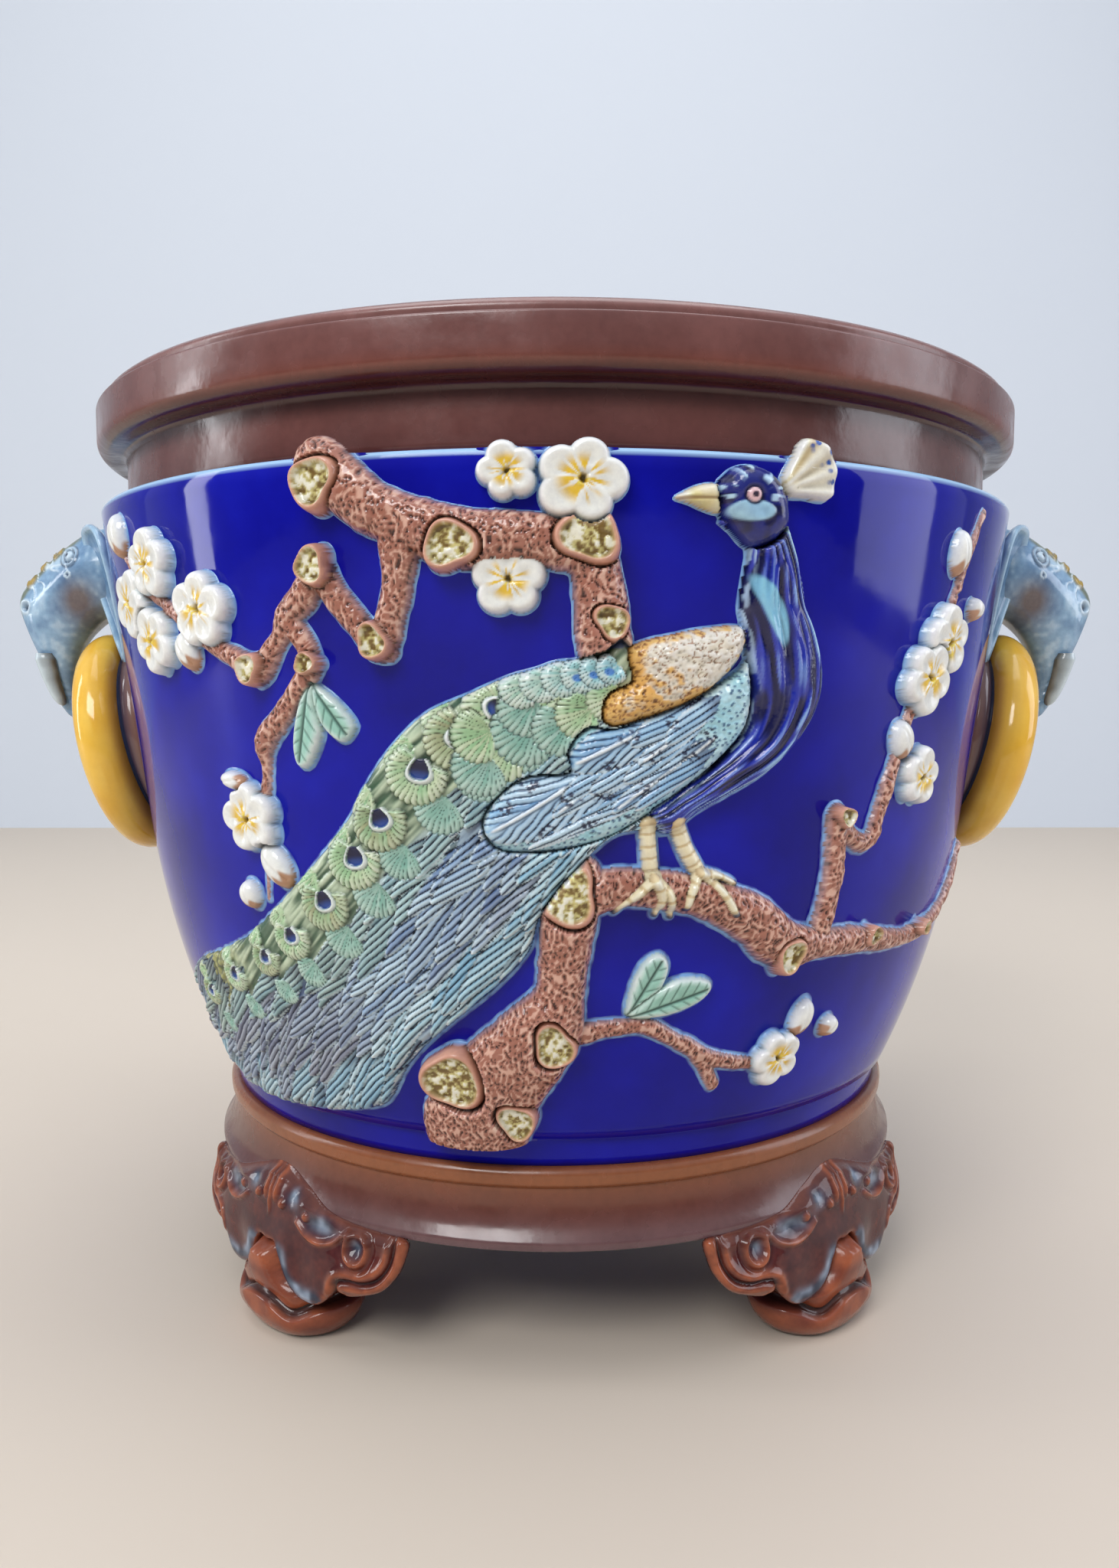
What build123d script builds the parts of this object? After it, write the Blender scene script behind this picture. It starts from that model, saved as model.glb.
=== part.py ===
from build123d import *
from math import atan2, cos, hypot, pi, radians, sin, sqrt, tan
import os

os.makedirs("parts", exist_ok=True)

# A glazed earthenware cachepot: a tapering blue pot on a brown base with four bracket feet, a brown rim,
# a bird on a blossoming tree moulded on each face, and two elephant-head handles that hold rings.
# The origin is on the table under the pot's axis. The front face looks towards -Y, the handles lie on X.
# Heights are stacked from the table: feet, base ring, foot band, wall, neck, rim.

# Feet
foot_height = 51.0
foot_circle_radius = 145.0
pad_sole_radius = 16.0
pad_radius = 22.5
pad_toe_height = 19.0
pad_groove_radius = 19.0
pad_knee_radius = 21.0
pad_neck_radius = 11.0
pad_stretch_share = 1.35
bracket_radius = 163.0
bracket_lean = 9.0
bracket_seat_gap = 0.3
bracket_tip_height = 18.0
bracket_height = 44.0
bracket_half_width = 69.0

# Base ring
base_ring_height = 29.0
base_bead_height = 8.0
base_bead_radius = 152.5
base_waist_radius = 149.5
base_flare_radius = 156.5
base_lip_height = 3.0
base_bore_radius = 114.0
base_hollow_share = 0.2

# Pot wall, with a straight taper above its waist and a tangent swelling arc below it
foot_band_height = 12.0
foot_band_radius = 149.0
foot_band_step = 3.0
wall_height = 232.0
wall_foot_radius = 154.0
wall_waist_radius = 183.2
wall_top_radius = 199.2
wall_waist_share = 0.45
wall_thickness = 14.0
floor_thickness = 14.0
floor_corner = 12.0

# Neck and rim
neck_height = 22.0
neck_radius = 188.5
rim_band_height = 15.0
rim_band_radius = 200.0
rim_lip_height = 5.5
rim_lip_radius = 196.5
rim_crown_radius = 190.0
rim_throat_radius = 180.0
soffit_rise = 3.0
lip_foot_share = 0.33
lip_turn_share = 0.75

# Handles: the elephant's head, ears and tusks, and the ring that a slim collar joins to the wall
head_drop = 17.0
head_length = 56.0
head_half_height = 19.0
head_half_width = 20.0
ear_width = 38.0
ear_length = 64.0
ear_thickness = 7.0
ear_root_stand = 19.0
ear_root_offset = 14.0
ear_tip_set_in = 14.0
ear_turn = 30.0
tusk_length = 27.0
tusk_radius = 4.6
tusk_tip_radius = 1.4
tusk_spread = 10.0
tusk_root_drop_share = 0.72
tusk_root_reach_share = 0.80
tusk_back_slope_share = 0.36
ring_mean_radius = 41.0
ring_tube_radius = 10.5
ring_drop = 98.0
ring_lean = 12.0
ring_seat_depth = 0.6
ring_collar_depth = 22.0
ring_collar_half_width = 4.7

# Moulded relief: how far each kind of sprig stands off the wall
branch_girth = 9.0
branch_rise = 9.0
branch_rise_limit_share = 1.25
branch_end_share = 0.65
branch_root_depth = 3.0
knot_rise = 11.5
knot_radius = 7.0
blossom_rise = 6.0
blossom_radius = 12.0
bud_rise = 5.0
bud_radius = 6.5
leaf_rise = 3.5
leaf_half_width = 8.0
head_rise = 10.0
crest_rise = 6.5
beak_rise = 6.0
neck_rise = 9.0
shoulder_rise = 10.0
wing_rise = 8.5
train_rise = 6.0
train_eye_rise = 8.5
train_eye_radius = 6.5
leg_radius = 2.6
leg_rise = 12.0
crest_above_wall = 7.0
cut_overrun = 20.0

# Counts, angles and shares
sliver_share = 0.01
twist_limit_share = 0.000001
wall_sides = 48
swell_facets = 4
lip_facets = 3
hollow_facets = 4
pad_sides = 12
toe_facets = 3
knee_facets = 3
bracket_sides = 32
head_sides = 10
tusk_sides = 6
ring_facets = 24
ring_sides = 8
arch_facets = 3
knot_facets = 8
eye_facets = 6
bud_facets = 6
bud_first_angle = 30
bud_width_share = 0.75
petal_count = 5
petal_tip_half_angle = 17
blossom_notch_share = 0.62
full_turn = 360
quarter_turn = 90
feet = {"front_left": 225, "front_right": 315, "back_right": 45, "back_left": 135}
faces = {"front": 0, "back": 180}
sides = {"right": 0, "left": 180}

# Heights worked out from the stack
base_top = foot_height + base_ring_height
wall_foot = base_top + foot_band_height
wall_top = wall_foot + wall_height
wall_waist = wall_foot + wall_height * wall_waist_share
neck_top = wall_top + neck_height
rim_band_top = neck_top + soffit_rise + rim_band_height
rim_top = rim_band_top + rim_lip_height

# The swelling arc leaves the straight taper at the waist and ends at the wall's foot
taper = atan2(wall_top_radius - wall_waist_radius, wall_top - wall_waist)
swell_chord = hypot(wall_waist_radius - wall_foot_radius, wall_waist - wall_foot)
swell_turn = atan2(wall_waist_radius - wall_foot_radius, wall_waist - wall_foot) - taper
swell_radius = swell_chord / (2 * sin(swell_turn))
swell_centre_radius = wall_waist_radius - swell_radius * cos(taper)
swell_centre_height = wall_waist + swell_radius * sin(taper)


def wall_radius(height):
    """The wall's outer radius at this height."""
    if height >= wall_waist:
        return wall_waist_radius + (height - wall_waist) * tan(taper)
    return swell_centre_radius + sqrt(swell_radius ** 2 - (height - swell_centre_height) ** 2)


def save(node, shape):
    """Write one named piece."""
    export_step(shape, f"parts/{node}.step")


def turned(shape, degrees_about_axis):
    return Rot(0, 0, degrees_about_axis) * shape


def spun(points):
    """A solid of revolution about the pot's axis, from the corners of its profile."""
    return revolve(make_face(Polyline(points, close=True)), Axis.Z)


def ring_of(corners, width, depth, place):
    """The corners of a stretched regular outline, carried to their place by a function of x and y."""
    turns = [radians(full_turn * i / corners) for i in range(corners)]
    return [place(width * cos(t), depth * sin(t)) for t in turns]


def faceted(rings, closed=False):
    """A solid with flat facets between rings of corners. A facet that would be twisted is split in two."""
    outlines = [] if closed else [rings[0], rings[-1]]
    pairs = list(zip(rings, rings[1:])) + ([(rings[-1], rings[0])] if closed else [])
    for lower, upper in pairs:
        for i in range(len(lower)):
            a, b, c, d = lower[i - 1], lower[i], upper[i], upper[i - 1]
            twist = (b - a).cross(d - a).normalized().dot((c - a).normalized())
            outlines += [[a, b, c, d]] if abs(twist) < twist_limit_share else [[a, b, c], [a, c, d]]
    return Solid(Shell([Face(Wire.make_polygon(outline, close=True)) for outline in outlines]))


def facets_of(curve, count):
    """The corners of a round stretch, cut into this many straight facets."""
    return [curve @ (i / count) for i in range(count + 1)]


def at(radius, height):
    return (radius, 0, height)


def wall_line(stand, top):
    """The wall's outer line, moved outwards by stand, from its foot up to top."""
    swell_middle = (wall_foot + wall_waist) / 2
    levels = (wall_foot, swell_middle, wall_waist, top)
    foot, middle, waist, end = [at(wall_radius(h) + stand, h) for h in levels]
    return facets_of(ThreePointArc(foot, middle, waist), swell_facets) + [Vector(end)]


def flats_round(radius, sides, height):
    """A ring of corners about the pot's axis whose flats touch this radius."""
    reach = radius / cos(pi / sides)
    return ring_of(sides, reach, reach, lambda x, y: Vector(x, y, height))


def wall_core(stand, top):
    """Everything inside the wall's outer line, with flat sides whose middles touch the round wall."""
    return faceted([flats_round(point.X, wall_sides, point.Z) for point in wall_line(stand, top)])


def pot_body():
    """The blue pot: outer wall over a stepped foot band, with a smooth inside and a floor."""
    inside_floor = base_top + floor_thickness
    corner_height = inside_floor + floor_corner
    corner = at(wall_radius(corner_height) - wall_thickness, corner_height)
    middle_height = (corner_height + wall_waist) / 2
    middle = at(wall_radius(middle_height) - wall_thickness, middle_height)
    waist = at(wall_waist_radius - wall_thickness, wall_waist)
    inside = [at(wall_top_radius - wall_thickness, wall_top)]
    inside += facets_of(ThreePointArc(waist, middle, corner), swell_facets)
    inside += [at(corner[0] - floor_corner, inside_floor), at(0, inside_floor)]
    band = [at(0, base_top), at(foot_band_radius, base_top), at(wall_foot_radius - foot_band_step, wall_foot)]
    return spun(band + wall_line(0, wall_top) + inside)


def rim_collar():
    """The brown neck and the overhanging rolled rim above it."""
    lip_foot = at((rim_band_radius + rim_lip_radius) / 2, rim_band_top + rim_lip_height * lip_foot_share)
    lip_turn = at(rim_lip_radius - soffit_rise / 2, rim_band_top + rim_lip_height * lip_turn_share)
    lip = ThreePointArc(lip_foot, lip_turn, at(rim_crown_radius, rim_top))
    return spun([
        at(wall_top_radius - wall_thickness, wall_top),
        at(neck_radius, wall_top),
        at(neck_radius, neck_top),
        at(rim_band_radius, neck_top + soffit_rise),
        at(rim_band_radius, rim_band_top),
        *facets_of(lip, lip_facets),
        at(rim_throat_radius, rim_band_top),
    ])


def base_ring():
    """The brown foot ring: a bead over a hollow moulding that flares to a thin lip."""
    hollow_height = (base_top - base_bead_height + foot_height + base_lip_height) / 2
    hollow_radius = base_waist_radius + (base_flare_radius - base_waist_radius) * base_hollow_share
    lip_top = at(base_flare_radius, foot_height + base_lip_height)
    bead_foot = at(base_waist_radius, base_top - base_bead_height)
    hollow = ThreePointArc(lip_top, at(hollow_radius, hollow_height), bead_foot)
    return spun([
        at(base_bore_radius, foot_height),
        at(base_flare_radius, foot_height),
        *facets_of(hollow, hollow_facets),
        at(base_bead_radius, base_top - base_bead_height / 2),
        at(base_waist_radius, base_top),
        at(base_bore_radius, base_top),
    ])


def foot_pad():
    """One foot under the ring: a flat sole, a round toe, a groove and a knee, stretched along the ring."""
    groove = at(pad_groove_radius, pad_toe_height)
    knee = at(pad_knee_radius, (pad_toe_height + foot_height) / 2)
    toe = ThreePointArc(at(pad_sole_radius, 0), at(pad_radius, pad_toe_height / 2), groove)
    upper = ThreePointArc(groove, knee, at(pad_neck_radius, foot_height))
    levels = facets_of(toe, toe_facets) + facets_of(upper, knee_facets)[1:]
    rings = []
    for p in levels:
        stretched = p.X * pad_stretch_share
        rings.append(ring_of(pad_sides, p.X, stretched, lambda x, y: Vector(foot_circle_radius + x, y, p.Z)))
    return faceted(rings)


# The bracket's right half: shares of its half width, and of its height measured up from the tongue's tip
bracket_half_shares = [(0.0, 0.42), (0.085, 0.41), (0.12, 0.27), (0.165, 0.15), (0.23, 0.05),
                       (0.33, 0.0), (0.45, 0.02), (0.535, 0.15), (0.61, 0.24), (0.66, 0.2),
                       (0.77, 0.25), (0.86, 0.31), (0.945, 0.44), (0.99, 0.59), (1.0, 0.76),
                       (0.82, 0.8), (0.66, 0.92), (0.5, 0.84), (0.36, 0.97), (0.22, 0.88), (0.1, 1.0),
                       (0.0, 0.97)]


def bracket_core(*radii_and_heights):
    """A many-sided core about the pot's axis whose flats stand at these radii and heights."""
    return faceted([flats_round(radius, bracket_sides, height) for radius, height in radii_and_heights])


def foot_bracket(pad):
    """A curved, lobed plate that wraps the ring's foot and hangs in front of the pad."""
    width, height, lowest = bracket_half_width, bracket_height, bracket_tip_height
    right = [(x * width, lowest + y * height) for x, y in bracket_half_shares]
    left = [(-x, y) for x, y in reversed(right[1:-1])]
    face = Plane.YZ * make_face(Polyline(right + left, close=True))
    plate = extrude(face, amount=bracket_radius + cut_overrun)
    upper_radius = bracket_radius - bracket_lean
    inner_radius = base_flare_radius + bracket_seat_gap
    shell = bracket_core((bracket_radius, 0), (bracket_radius, foot_height), (upper_radius, base_top))
    hollow = bracket_core((inner_radius, 0), (inner_radius, base_top))
    return (plate & shell) - hollow - pad


# The head's stations along its middle line: reach and drop as shares of the head's length, the heading
# in degrees above the outward direction, and the half height and half width as shares
head_station_shares = [(-0.12, 0.02, 0, 1.0, 1.0), (0.27, 0.02, -8, 1.02, 1.0), (0.52, 0.07, -22, 0.95, 0.95),
                       (0.70, 0.18, -45, 0.84, 0.84), (0.76, 0.36, -75, 0.74, 0.70),
                       (0.77, 0.55, -98, 0.60, 0.56), (0.71, 0.80, -105, 0.42, 0.42),
                       (0.64, 1.02, -118, 0.29, 0.32), (0.52, 1.18, -150, 0.24, 0.27),
                       (0.34, 1.22, -185, 0.22, 0.24), (0.20, 1.15, -215, 0.19, 0.21)]


def elephant_head(core):
    """The head reaches out from the wall, turns down into the trunk and curls back through the ring."""
    root_height = wall_top - head_drop
    root_radius = wall_radius(root_height)
    rings = []
    for reach, drop, heading, tall, wide in head_station_shares:
        origin = Vector(root_radius + reach * head_length, 0, root_height - drop * head_length)
        up = Vector(-sin(radians(heading)), 0, cos(radians(heading)))
        width, height = wide * head_half_width, tall * head_half_height
        rings.append(ring_of(head_sides, width, height, lambda x, y: origin + Vector(0, x, 0) + up * y))
    return faceted(rings) - core


# An ear's outline: shares of its width from the head to the wall, and of its length down from its top
ear_shares = [(0.0, 0.05), (0.3, 0.0), (0.7, 0.03), (0.94, 0.14), (1.0, 0.36), (0.92, 0.62),
              (0.8, 0.84), (0.64, 1.0), (0.46, 0.88), (0.3, 0.66), (0.12, 0.46), (0.0, 0.36)]


def ears(core, head, ring):
    """A pair of ears that fold back from the head's sides and rest their edges on the wall and the ring."""
    turn = radians(ear_turn)
    root = (wall_top_radius + ear_root_stand, ear_root_offset, wall_top)
    facing = (cos(turn) * ear_length, sin(turn) * ear_length, -ear_tip_set_in)
    lean = Plane(origin=root, x_dir=(-sin(turn), cos(turn), 0), z_dir=facing)
    outline = Polyline([(x * ear_width, -y * ear_length) for x, y in ear_shares], close=True)
    ear = extrude(lean * make_face(outline), amount=-ear_thickness) - core - head - ring
    return [ear, mirror(ear, about=Plane.XZ)]


def tusks(head):
    """A pair of short tusks that leave the trunk's sides and point down."""
    root_height = wall_top - head_drop - tusk_root_drop_share * head_length
    root_radius = wall_radius(wall_top - head_drop) + tusk_root_reach_share * head_length
    root = Vector(root_radius, 0, root_height)
    tip = root + Vector(-tusk_back_slope_share, 0, -1).normalized() * tusk_length
    rings = [ring_of(tusk_sides, radius, radius, lambda x, y: end + Vector(x, y, 0))
             for end, radius in ((root, tusk_radius), (tip, tusk_tip_radius))]
    tusk = faceted(rings)
    return [Pos(0, side * tusk_spread, 0) * tusk - head for side in (-1, 1)]


def ring_section():
    """The round tube, with a collar on its wall side that is cut off where it meets the wall."""
    radius, half_width = ring_tube_radius, ring_collar_half_width
    turns = [radians(full_turn * i / ring_sides - quarter_turn) for i in range(1, ring_sides)]
    root = -sqrt(radius ** 2 - half_width ** 2)
    collar = [(-half_width, root), (-half_width, -ring_collar_depth),
              (half_width, -ring_collar_depth), (half_width, root)]
    return [(radius * cos(t), radius * sin(t)) for t in turns] + collar


def handle_ring(core, head):
    """A thick ring that hangs on the trunk and leans with the wall, joined to it by its collar."""
    centre_height = wall_top - ring_drop
    foot_height_of_ring = centre_height - ring_mean_radius * cos(radians(ring_lean))
    foot_radius = wall_radius(foot_height_of_ring) + ring_tube_radius - ring_seat_depth
    centre_radius = foot_radius + ring_mean_radius * sin(radians(ring_lean))
    rings = []
    for i in range(ring_facets):
        look = outward(full_turn * i / ring_facets)
        rings.append([look * (ring_mean_radius + x) + Vector(0, 0, y) for x, y in ring_section()])
    ring = faceted(rings, closed=True)
    placed = Pos(centre_radius, 0, centre_height) * Rot(0, quarter_turn + ring_lean, 0) * ring
    return placed - core - head


def outward(azimuth):
    return Vector(sin(radians(azimuth)), -cos(radians(azimuth)), 0)


def panel_height(height_share):
    return wall_foot + height_share * wall_height


def plate(outline_shares, rise, top=wall_top):
    """A flat sprig on the wall. Its outline is in shares of a quarter turn and of the wall's height."""
    azimuths = [a * quarter_turn for a, h in outline_shares]
    heights = [panel_height(h) for a, h in outline_shares]
    facing = (min(azimuths) + max(azimuths)) / 2
    points = [(wall_radius(z) * sin(radians(a - facing)), z) for a, z in zip(azimuths, heights)]
    look = outward(facing)
    frame = Plane(origin=(0, 0, 0), x_dir=(-look.Y, look.X, 0), z_dir=look)
    prism = extrude(frame * make_face(Polyline(points, close=True)), amount=wall_top_radius + cut_overrun)
    return (prism & wall_core(rise, top)) - wall_core(0, max(top, wall_top))


def on_wall(azimuth_share, height_share, stand=0.0):
    height = panel_height(height_share)
    return outward(azimuth_share * quarter_turn) * (wall_radius(height) + stand) + Vector(0, 0, height)


def branch(spine_shares, girth=branch_girth, rise=branch_rise):
    """A half-round branch along the wall, its girth given at each point as a share."""
    spine = [on_wall(a, h) for a, h, g in spine_shares]
    stations = []
    for i, (a, h, share) in enumerate(spine_shares):
        after = spine[min(i + 1, len(spine) - 1)]
        before = spine[max(i - 1, 0)]
        stations.append((spine[i], (after - before).normalized(), share))
    for end, way in ((0, -1), (-1, 1)):
        point, tangent, share = stations[end]
        tip = point + tangent * way * share * girth * branch_end_share
        stations.insert(0 if end == 0 else len(stations), (tip, tangent, share * branch_end_share))
    rings = []
    for point, tangent, share in stations:
        out = Vector(point.X, point.Y, 0).normalized()
        across = tangent.cross(out).normalized() * girth * share
        up = out * rise * min(branch_rise_limit_share, share)
        arch = [pi * i / arch_facets for i in range(arch_facets + 1)]
        outline = [point + across * cos(t) + up * sin(t) for t in arch]
        outline.append(point - across - out * branch_root_depth)
        outline.append(point + across - out * branch_root_depth)
        rings.append(outline)
    return faceted(rings)


def boss(azimuth_share, height_share, radius, rise, points):
    """A tapered boss with its outline in shares of its radius, on the wall."""
    look = outward(azimuth_share * quarter_turn)
    root = on_wall(azimuth_share, height_share, -rise)
    frame = Plane(origin=root, x_dir=(-look.Y, look.X, 0), z_dir=look)
    outline = Polyline([(x * radius, y * radius) for x, y in points], close=True)
    return extrude(frame * make_face(outline), amount=2 * rise)


def regular_outline(corners, first_angle=0.0, width_share=1.0):
    """The corners of a regular outline, in shares of its radius."""
    angles = [radians(first_angle + full_turn * i / corners) for i in range(corners)]
    return [(width_share * cos(t), sin(t)) for t in angles]


def blossom_outline():
    """Blunt petals with a notch before each one, in shares of the blossom's radius."""
    step = full_turn / petal_count
    points = []
    for petal in range(petal_count):
        middle = quarter_turn + step * petal
        turns = (-step / 2, -petal_tip_half_angle, petal_tip_half_angle)
        for turn, reach in zip(turns, (blossom_notch_share, 1, 1)):
            points.append((reach * cos(radians(middle + turn)), reach * sin(radians(middle + turn))))
    return points


def leaf(base_shares, tip_shares):
    """A flat leaf from its stalk end to its tip, both in shares of the panel."""
    look = outward(base_shares[0] * quarter_turn)
    base = on_wall(*base_shares)
    frame = Plane(origin=base - look * leaf_rise, x_dir=(-look.Y, look.X, 0), z_dir=look)
    run = frame.to_local_coords(on_wall(*tip_shares))
    length = hypot(run.X, run.Y)
    along = Vector(run.X, run.Y, 0) / length
    beside = Vector(-along.Y, along.X, 0)
    half = [along * t * length + beside * w * leaf_half_width for t, w in leaf_half_shares]
    other = [along * t * length - beside * w * leaf_half_width for t, w in reversed(leaf_half_shares)]
    outline = Polyline([(p.X, p.Y) for p in half + other], close=True)
    return extrude(frame * make_face(outline), amount=2 * leaf_rise)


# The tree and its flowers, in shares: azimuth of a quarter turn (plus is to the right), height of the wall
upper_limb_shares = [
    [(-0.235, 0.985, 1.0), (-0.19, 0.93, 0.95), (-0.145, 0.905, 0.95), (-0.1, 0.885, 1.05),
     (-0.05, 0.885, 0.93), (0.0, 0.878, 0.88), (0.035, 0.855, 0.85), (0.045, 0.8, 0.88),
     (0.05, 0.745, 0.95)],
    [(-0.157, 0.89, 0.85), (-0.16, 0.845, 0.62), (-0.168, 0.8, 0.55), (-0.183, 0.745, 0.62)],
    [(-0.19, 0.745, 0.55), (-0.205, 0.77, 0.52), (-0.226, 0.8, 0.52), (-0.25, 0.85, 0.62)],
    [(-0.255, 0.85, 0.55), (-0.272, 0.817, 0.6), (-0.297, 0.787, 0.5), (-0.312, 0.755, 0.42),
     (-0.345, 0.715, 0.6), (-0.385, 0.735, 0.42), (-0.425, 0.757, 0.36), (-0.51, 0.82, 0.33),
     (-0.56, 0.852, 0.28), (-0.628, 0.915, 0.2)],
    [(-0.295, 0.783, 0.45), (-0.277, 0.749, 0.45), (-0.271, 0.718, 0.48), (-0.29, 0.69, 0.42),
     (-0.318, 0.648, 0.42), (-0.348, 0.61, 0.5), (-0.35, 0.575, 0.28), (-0.357, 0.53, 0.25),
     (-0.377, 0.37, 0.14)],
]
lower_limb_shares = [
    [(-0.115, 0.02, 2.5), (-0.085, 0.09, 2.1), (-0.022, 0.18, 1.65), (0.003, 0.24, 1.05),
     (0.008, 0.29, 0.95), (0.013, 0.35, 1.05), (0.02, 0.42, 1.1)],
    [(0.03, 0.4, 0.95), (0.075, 0.41, 0.75), (0.125, 0.405, 0.75), (0.185, 0.385, 0.8),
     (0.235, 0.355, 0.95), (0.285, 0.31, 0.95), (0.34, 0.303, 0.68), (0.4, 0.3, 0.6),
     (0.47, 0.288, 0.5), (0.55, 0.28, 0.45), (0.64, 0.295, 0.4), (0.7, 0.335, 0.35),
     (0.75, 0.405, 0.25)],
    [(0.342, 0.32, 0.55), (0.35, 0.41, 0.5), (0.346, 0.5, 0.5)],
    [(0.353, 0.485, 0.4), (0.385, 0.458, 0.42), (0.41, 0.46, 0.42), (0.422, 0.51, 0.38),
     (0.462, 0.665, 0.3), (0.514, 0.793, 0.28), (0.543, 0.88, 0.24), (0.578, 0.965, 0.15)],
    [(0.02, 0.185, 0.45), (0.105, 0.197, 0.36), (0.16, 0.165, 0.36), (0.21, 0.132, 0.33),
     (0.27, 0.115, 0.3)],
    [(0.185, 0.145, 0.33), (0.221, 0.085, 0.28)],
]
knot_shares = [(-0.238, 0.96, 1.1), (-0.101, 0.874, 1.0), (0.031, 0.884, 1.2), (0.055, 0.775, 0.75),
               (-0.186, 0.75, 0.75), (-0.249, 0.852, 0.8), (-0.345, 0.716, 0.75),
               (-0.268, 0.722, 0.55), (-0.132, 0.112, 1.4), (-0.052, 0.045, 1.0), (-0.002, 0.175, 1.1),
               (0.013, 0.404, 1.0), (0.287, 0.296, 0.9), (0.431, 0.305, 0.55), (0.568, 0.292, 0.5),
               (0.348, 0.5, 0.55)]
blossom_shares = [(-0.509, 0.874, 1.0), (-0.566, 0.82, 1.1), (-0.511, 0.758, 1.0), (-0.413, 0.801, 1.1),
                  (-0.375, 0.494, 1.0), (0.025, 0.950, 1.0), (-0.050, 0.963, 0.6), (-0.045, 0.832, 0.8),
                  (0.49, 0.763, 1.05), (0.462, 0.71, 1.05), (0.467, 0.553, 0.9), (0.307, 0.121, 0.85)]
bud_shares = [(-0.61, 0.93, 1.0), (-0.45, 0.742, 1.0), (-0.352, 0.423, 1.0), (-0.404, 0.373, 0.8),
              (-0.399, 0.548, 0.8), (0.506, 0.893, 0.95), (0.574, 0.812, 0.8), (0.426, 0.611, 0.8),
              (0.346, 0.179, 0.8), (0.403, 0.155, 0.8)]
leaf_shares = [((-0.264, 0.695), (-0.222, 0.615)), ((-0.270, 0.685), (-0.286, 0.572)),
               ((0.088, 0.212), (0.115, 0.306)), ((0.093, 0.209), (0.194, 0.253))]
leaf_half_shares = [(0.0, 0.12), (0.3, 0.75), (0.6, 1.0), (0.85, 0.75), (1.0, 0.1)]

# The bird's outlines, in the same shares
head_shares = [(0.158, 0.956), (0.177, 0.98), (0.192, 0.985), (0.209, 0.981), (0.224, 0.969),
               (0.234, 0.945), (0.237, 0.91), (0.177, 0.897), (0.163, 0.919)]
beak_shares = [(0.117, 0.938), (0.130, 0.949), (0.158, 0.957), (0.163, 0.919), (0.135, 0.927)]
crest_shares = [(0.228, 0.962), (0.242, 1.002), (0.247, 1.019), (0.26, 1.025), (0.281, 1.016),
                (0.294, 0.985), (0.293, 0.955), (0.285, 0.944), (0.258, 0.946), (0.233, 0.944)]
shoulder_shares = [(0.045, 0.735), (0.07, 0.744), (0.116, 0.76), (0.148, 0.768), (0.192, 0.769),
                   (0.201, 0.708), (0.206, 0.656), (0.201, 0.635), (0.163, 0.583), (0.138, 0.571),
                   (0.111, 0.581), (0.056, 0.636), (0.033, 0.672)]
neck_shares = [(0.177, 0.902), (0.194, 0.873), (0.194, 0.855), (0.19, 0.819), (0.188, 0.774),
               (0.16, 0.65), (0.119, 0.56), (0.095, 0.515), (0.105, 0.492), (0.14, 0.492),
               (0.188, 0.536), (0.23, 0.57), (0.268, 0.618), (0.29, 0.665), (0.291, 0.719),
               (0.282, 0.761), (0.267, 0.802), (0.256, 0.853), (0.239, 0.892), (0.237, 0.914)]
wing_shares = [(0.033, 0.672), (0.111, 0.6), (0.119, 0.55), (0.07, 0.5), (0.01, 0.469),
               (-0.036, 0.461), (-0.082, 0.479), (-0.07, 0.505), (-0.029, 0.543), (0.014, 0.585),
               (0.02, 0.636)]
train_shares = [(0.09, 0.745), (0.022, 0.727), (-0.021, 0.714), (-0.048, 0.704), (-0.09, 0.68),
                (-0.136, 0.653), (-0.178, 0.602), (-0.21, 0.55), (-0.238, 0.5), (-0.274, 0.455),
                (-0.312, 0.41), (-0.359, 0.363), (-0.425, 0.307), (-0.507, 0.259), (-0.6, 0.21),
                (-0.613, 0.144), (-0.569, 0.072), (-0.54, 0.025), (-0.504, 0.006), (-0.4, 0.012),
                (-0.334, 0.018), (-0.238, 0.056), (-0.203, 0.134), (-0.161, 0.182), (-0.069, 0.28),
                (-0.023, 0.333), (0.012, 0.412), (0.06, 0.483), (0.12, 0.56)]
train_eye_shares = [(-0.056, 0.664, 0.9), (-0.097, 0.631, 0.9), (-0.145, 0.58, 1.0),
                    (-0.195, 0.513, 1.0), (-0.23, 0.454, 1.0), (-0.283, 0.387, 1.0),
                    (-0.339, 0.324, 1.0), (-0.4, 0.278, 1.0), (-0.475, 0.232, 1.0)]
leg_shares = [[(0.106, 0.51, 1.0), (0.110, 0.43, 0.9)], [(0.137, 0.51, 1.0), (0.160, 0.435, 0.9)],
              [(0.110, 0.425, 0.9), (0.069, 0.375, 0.7)], [(0.112, 0.425, 0.9), (0.132, 0.375, 0.7)],
              [(0.160, 0.43, 0.9), (0.158, 0.378, 0.7)], [(0.162, 0.43, 0.9), (0.212, 0.365, 0.7)]]


def group(shapes):
    """One node of separate solids, without slivers."""
    solids = [solid for shape in shapes for solid in shape.solids()]
    largest = max(solid.volume for solid in solids)
    return Compound([solid for solid in solids if solid.volume > largest * sliver_share])


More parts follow.
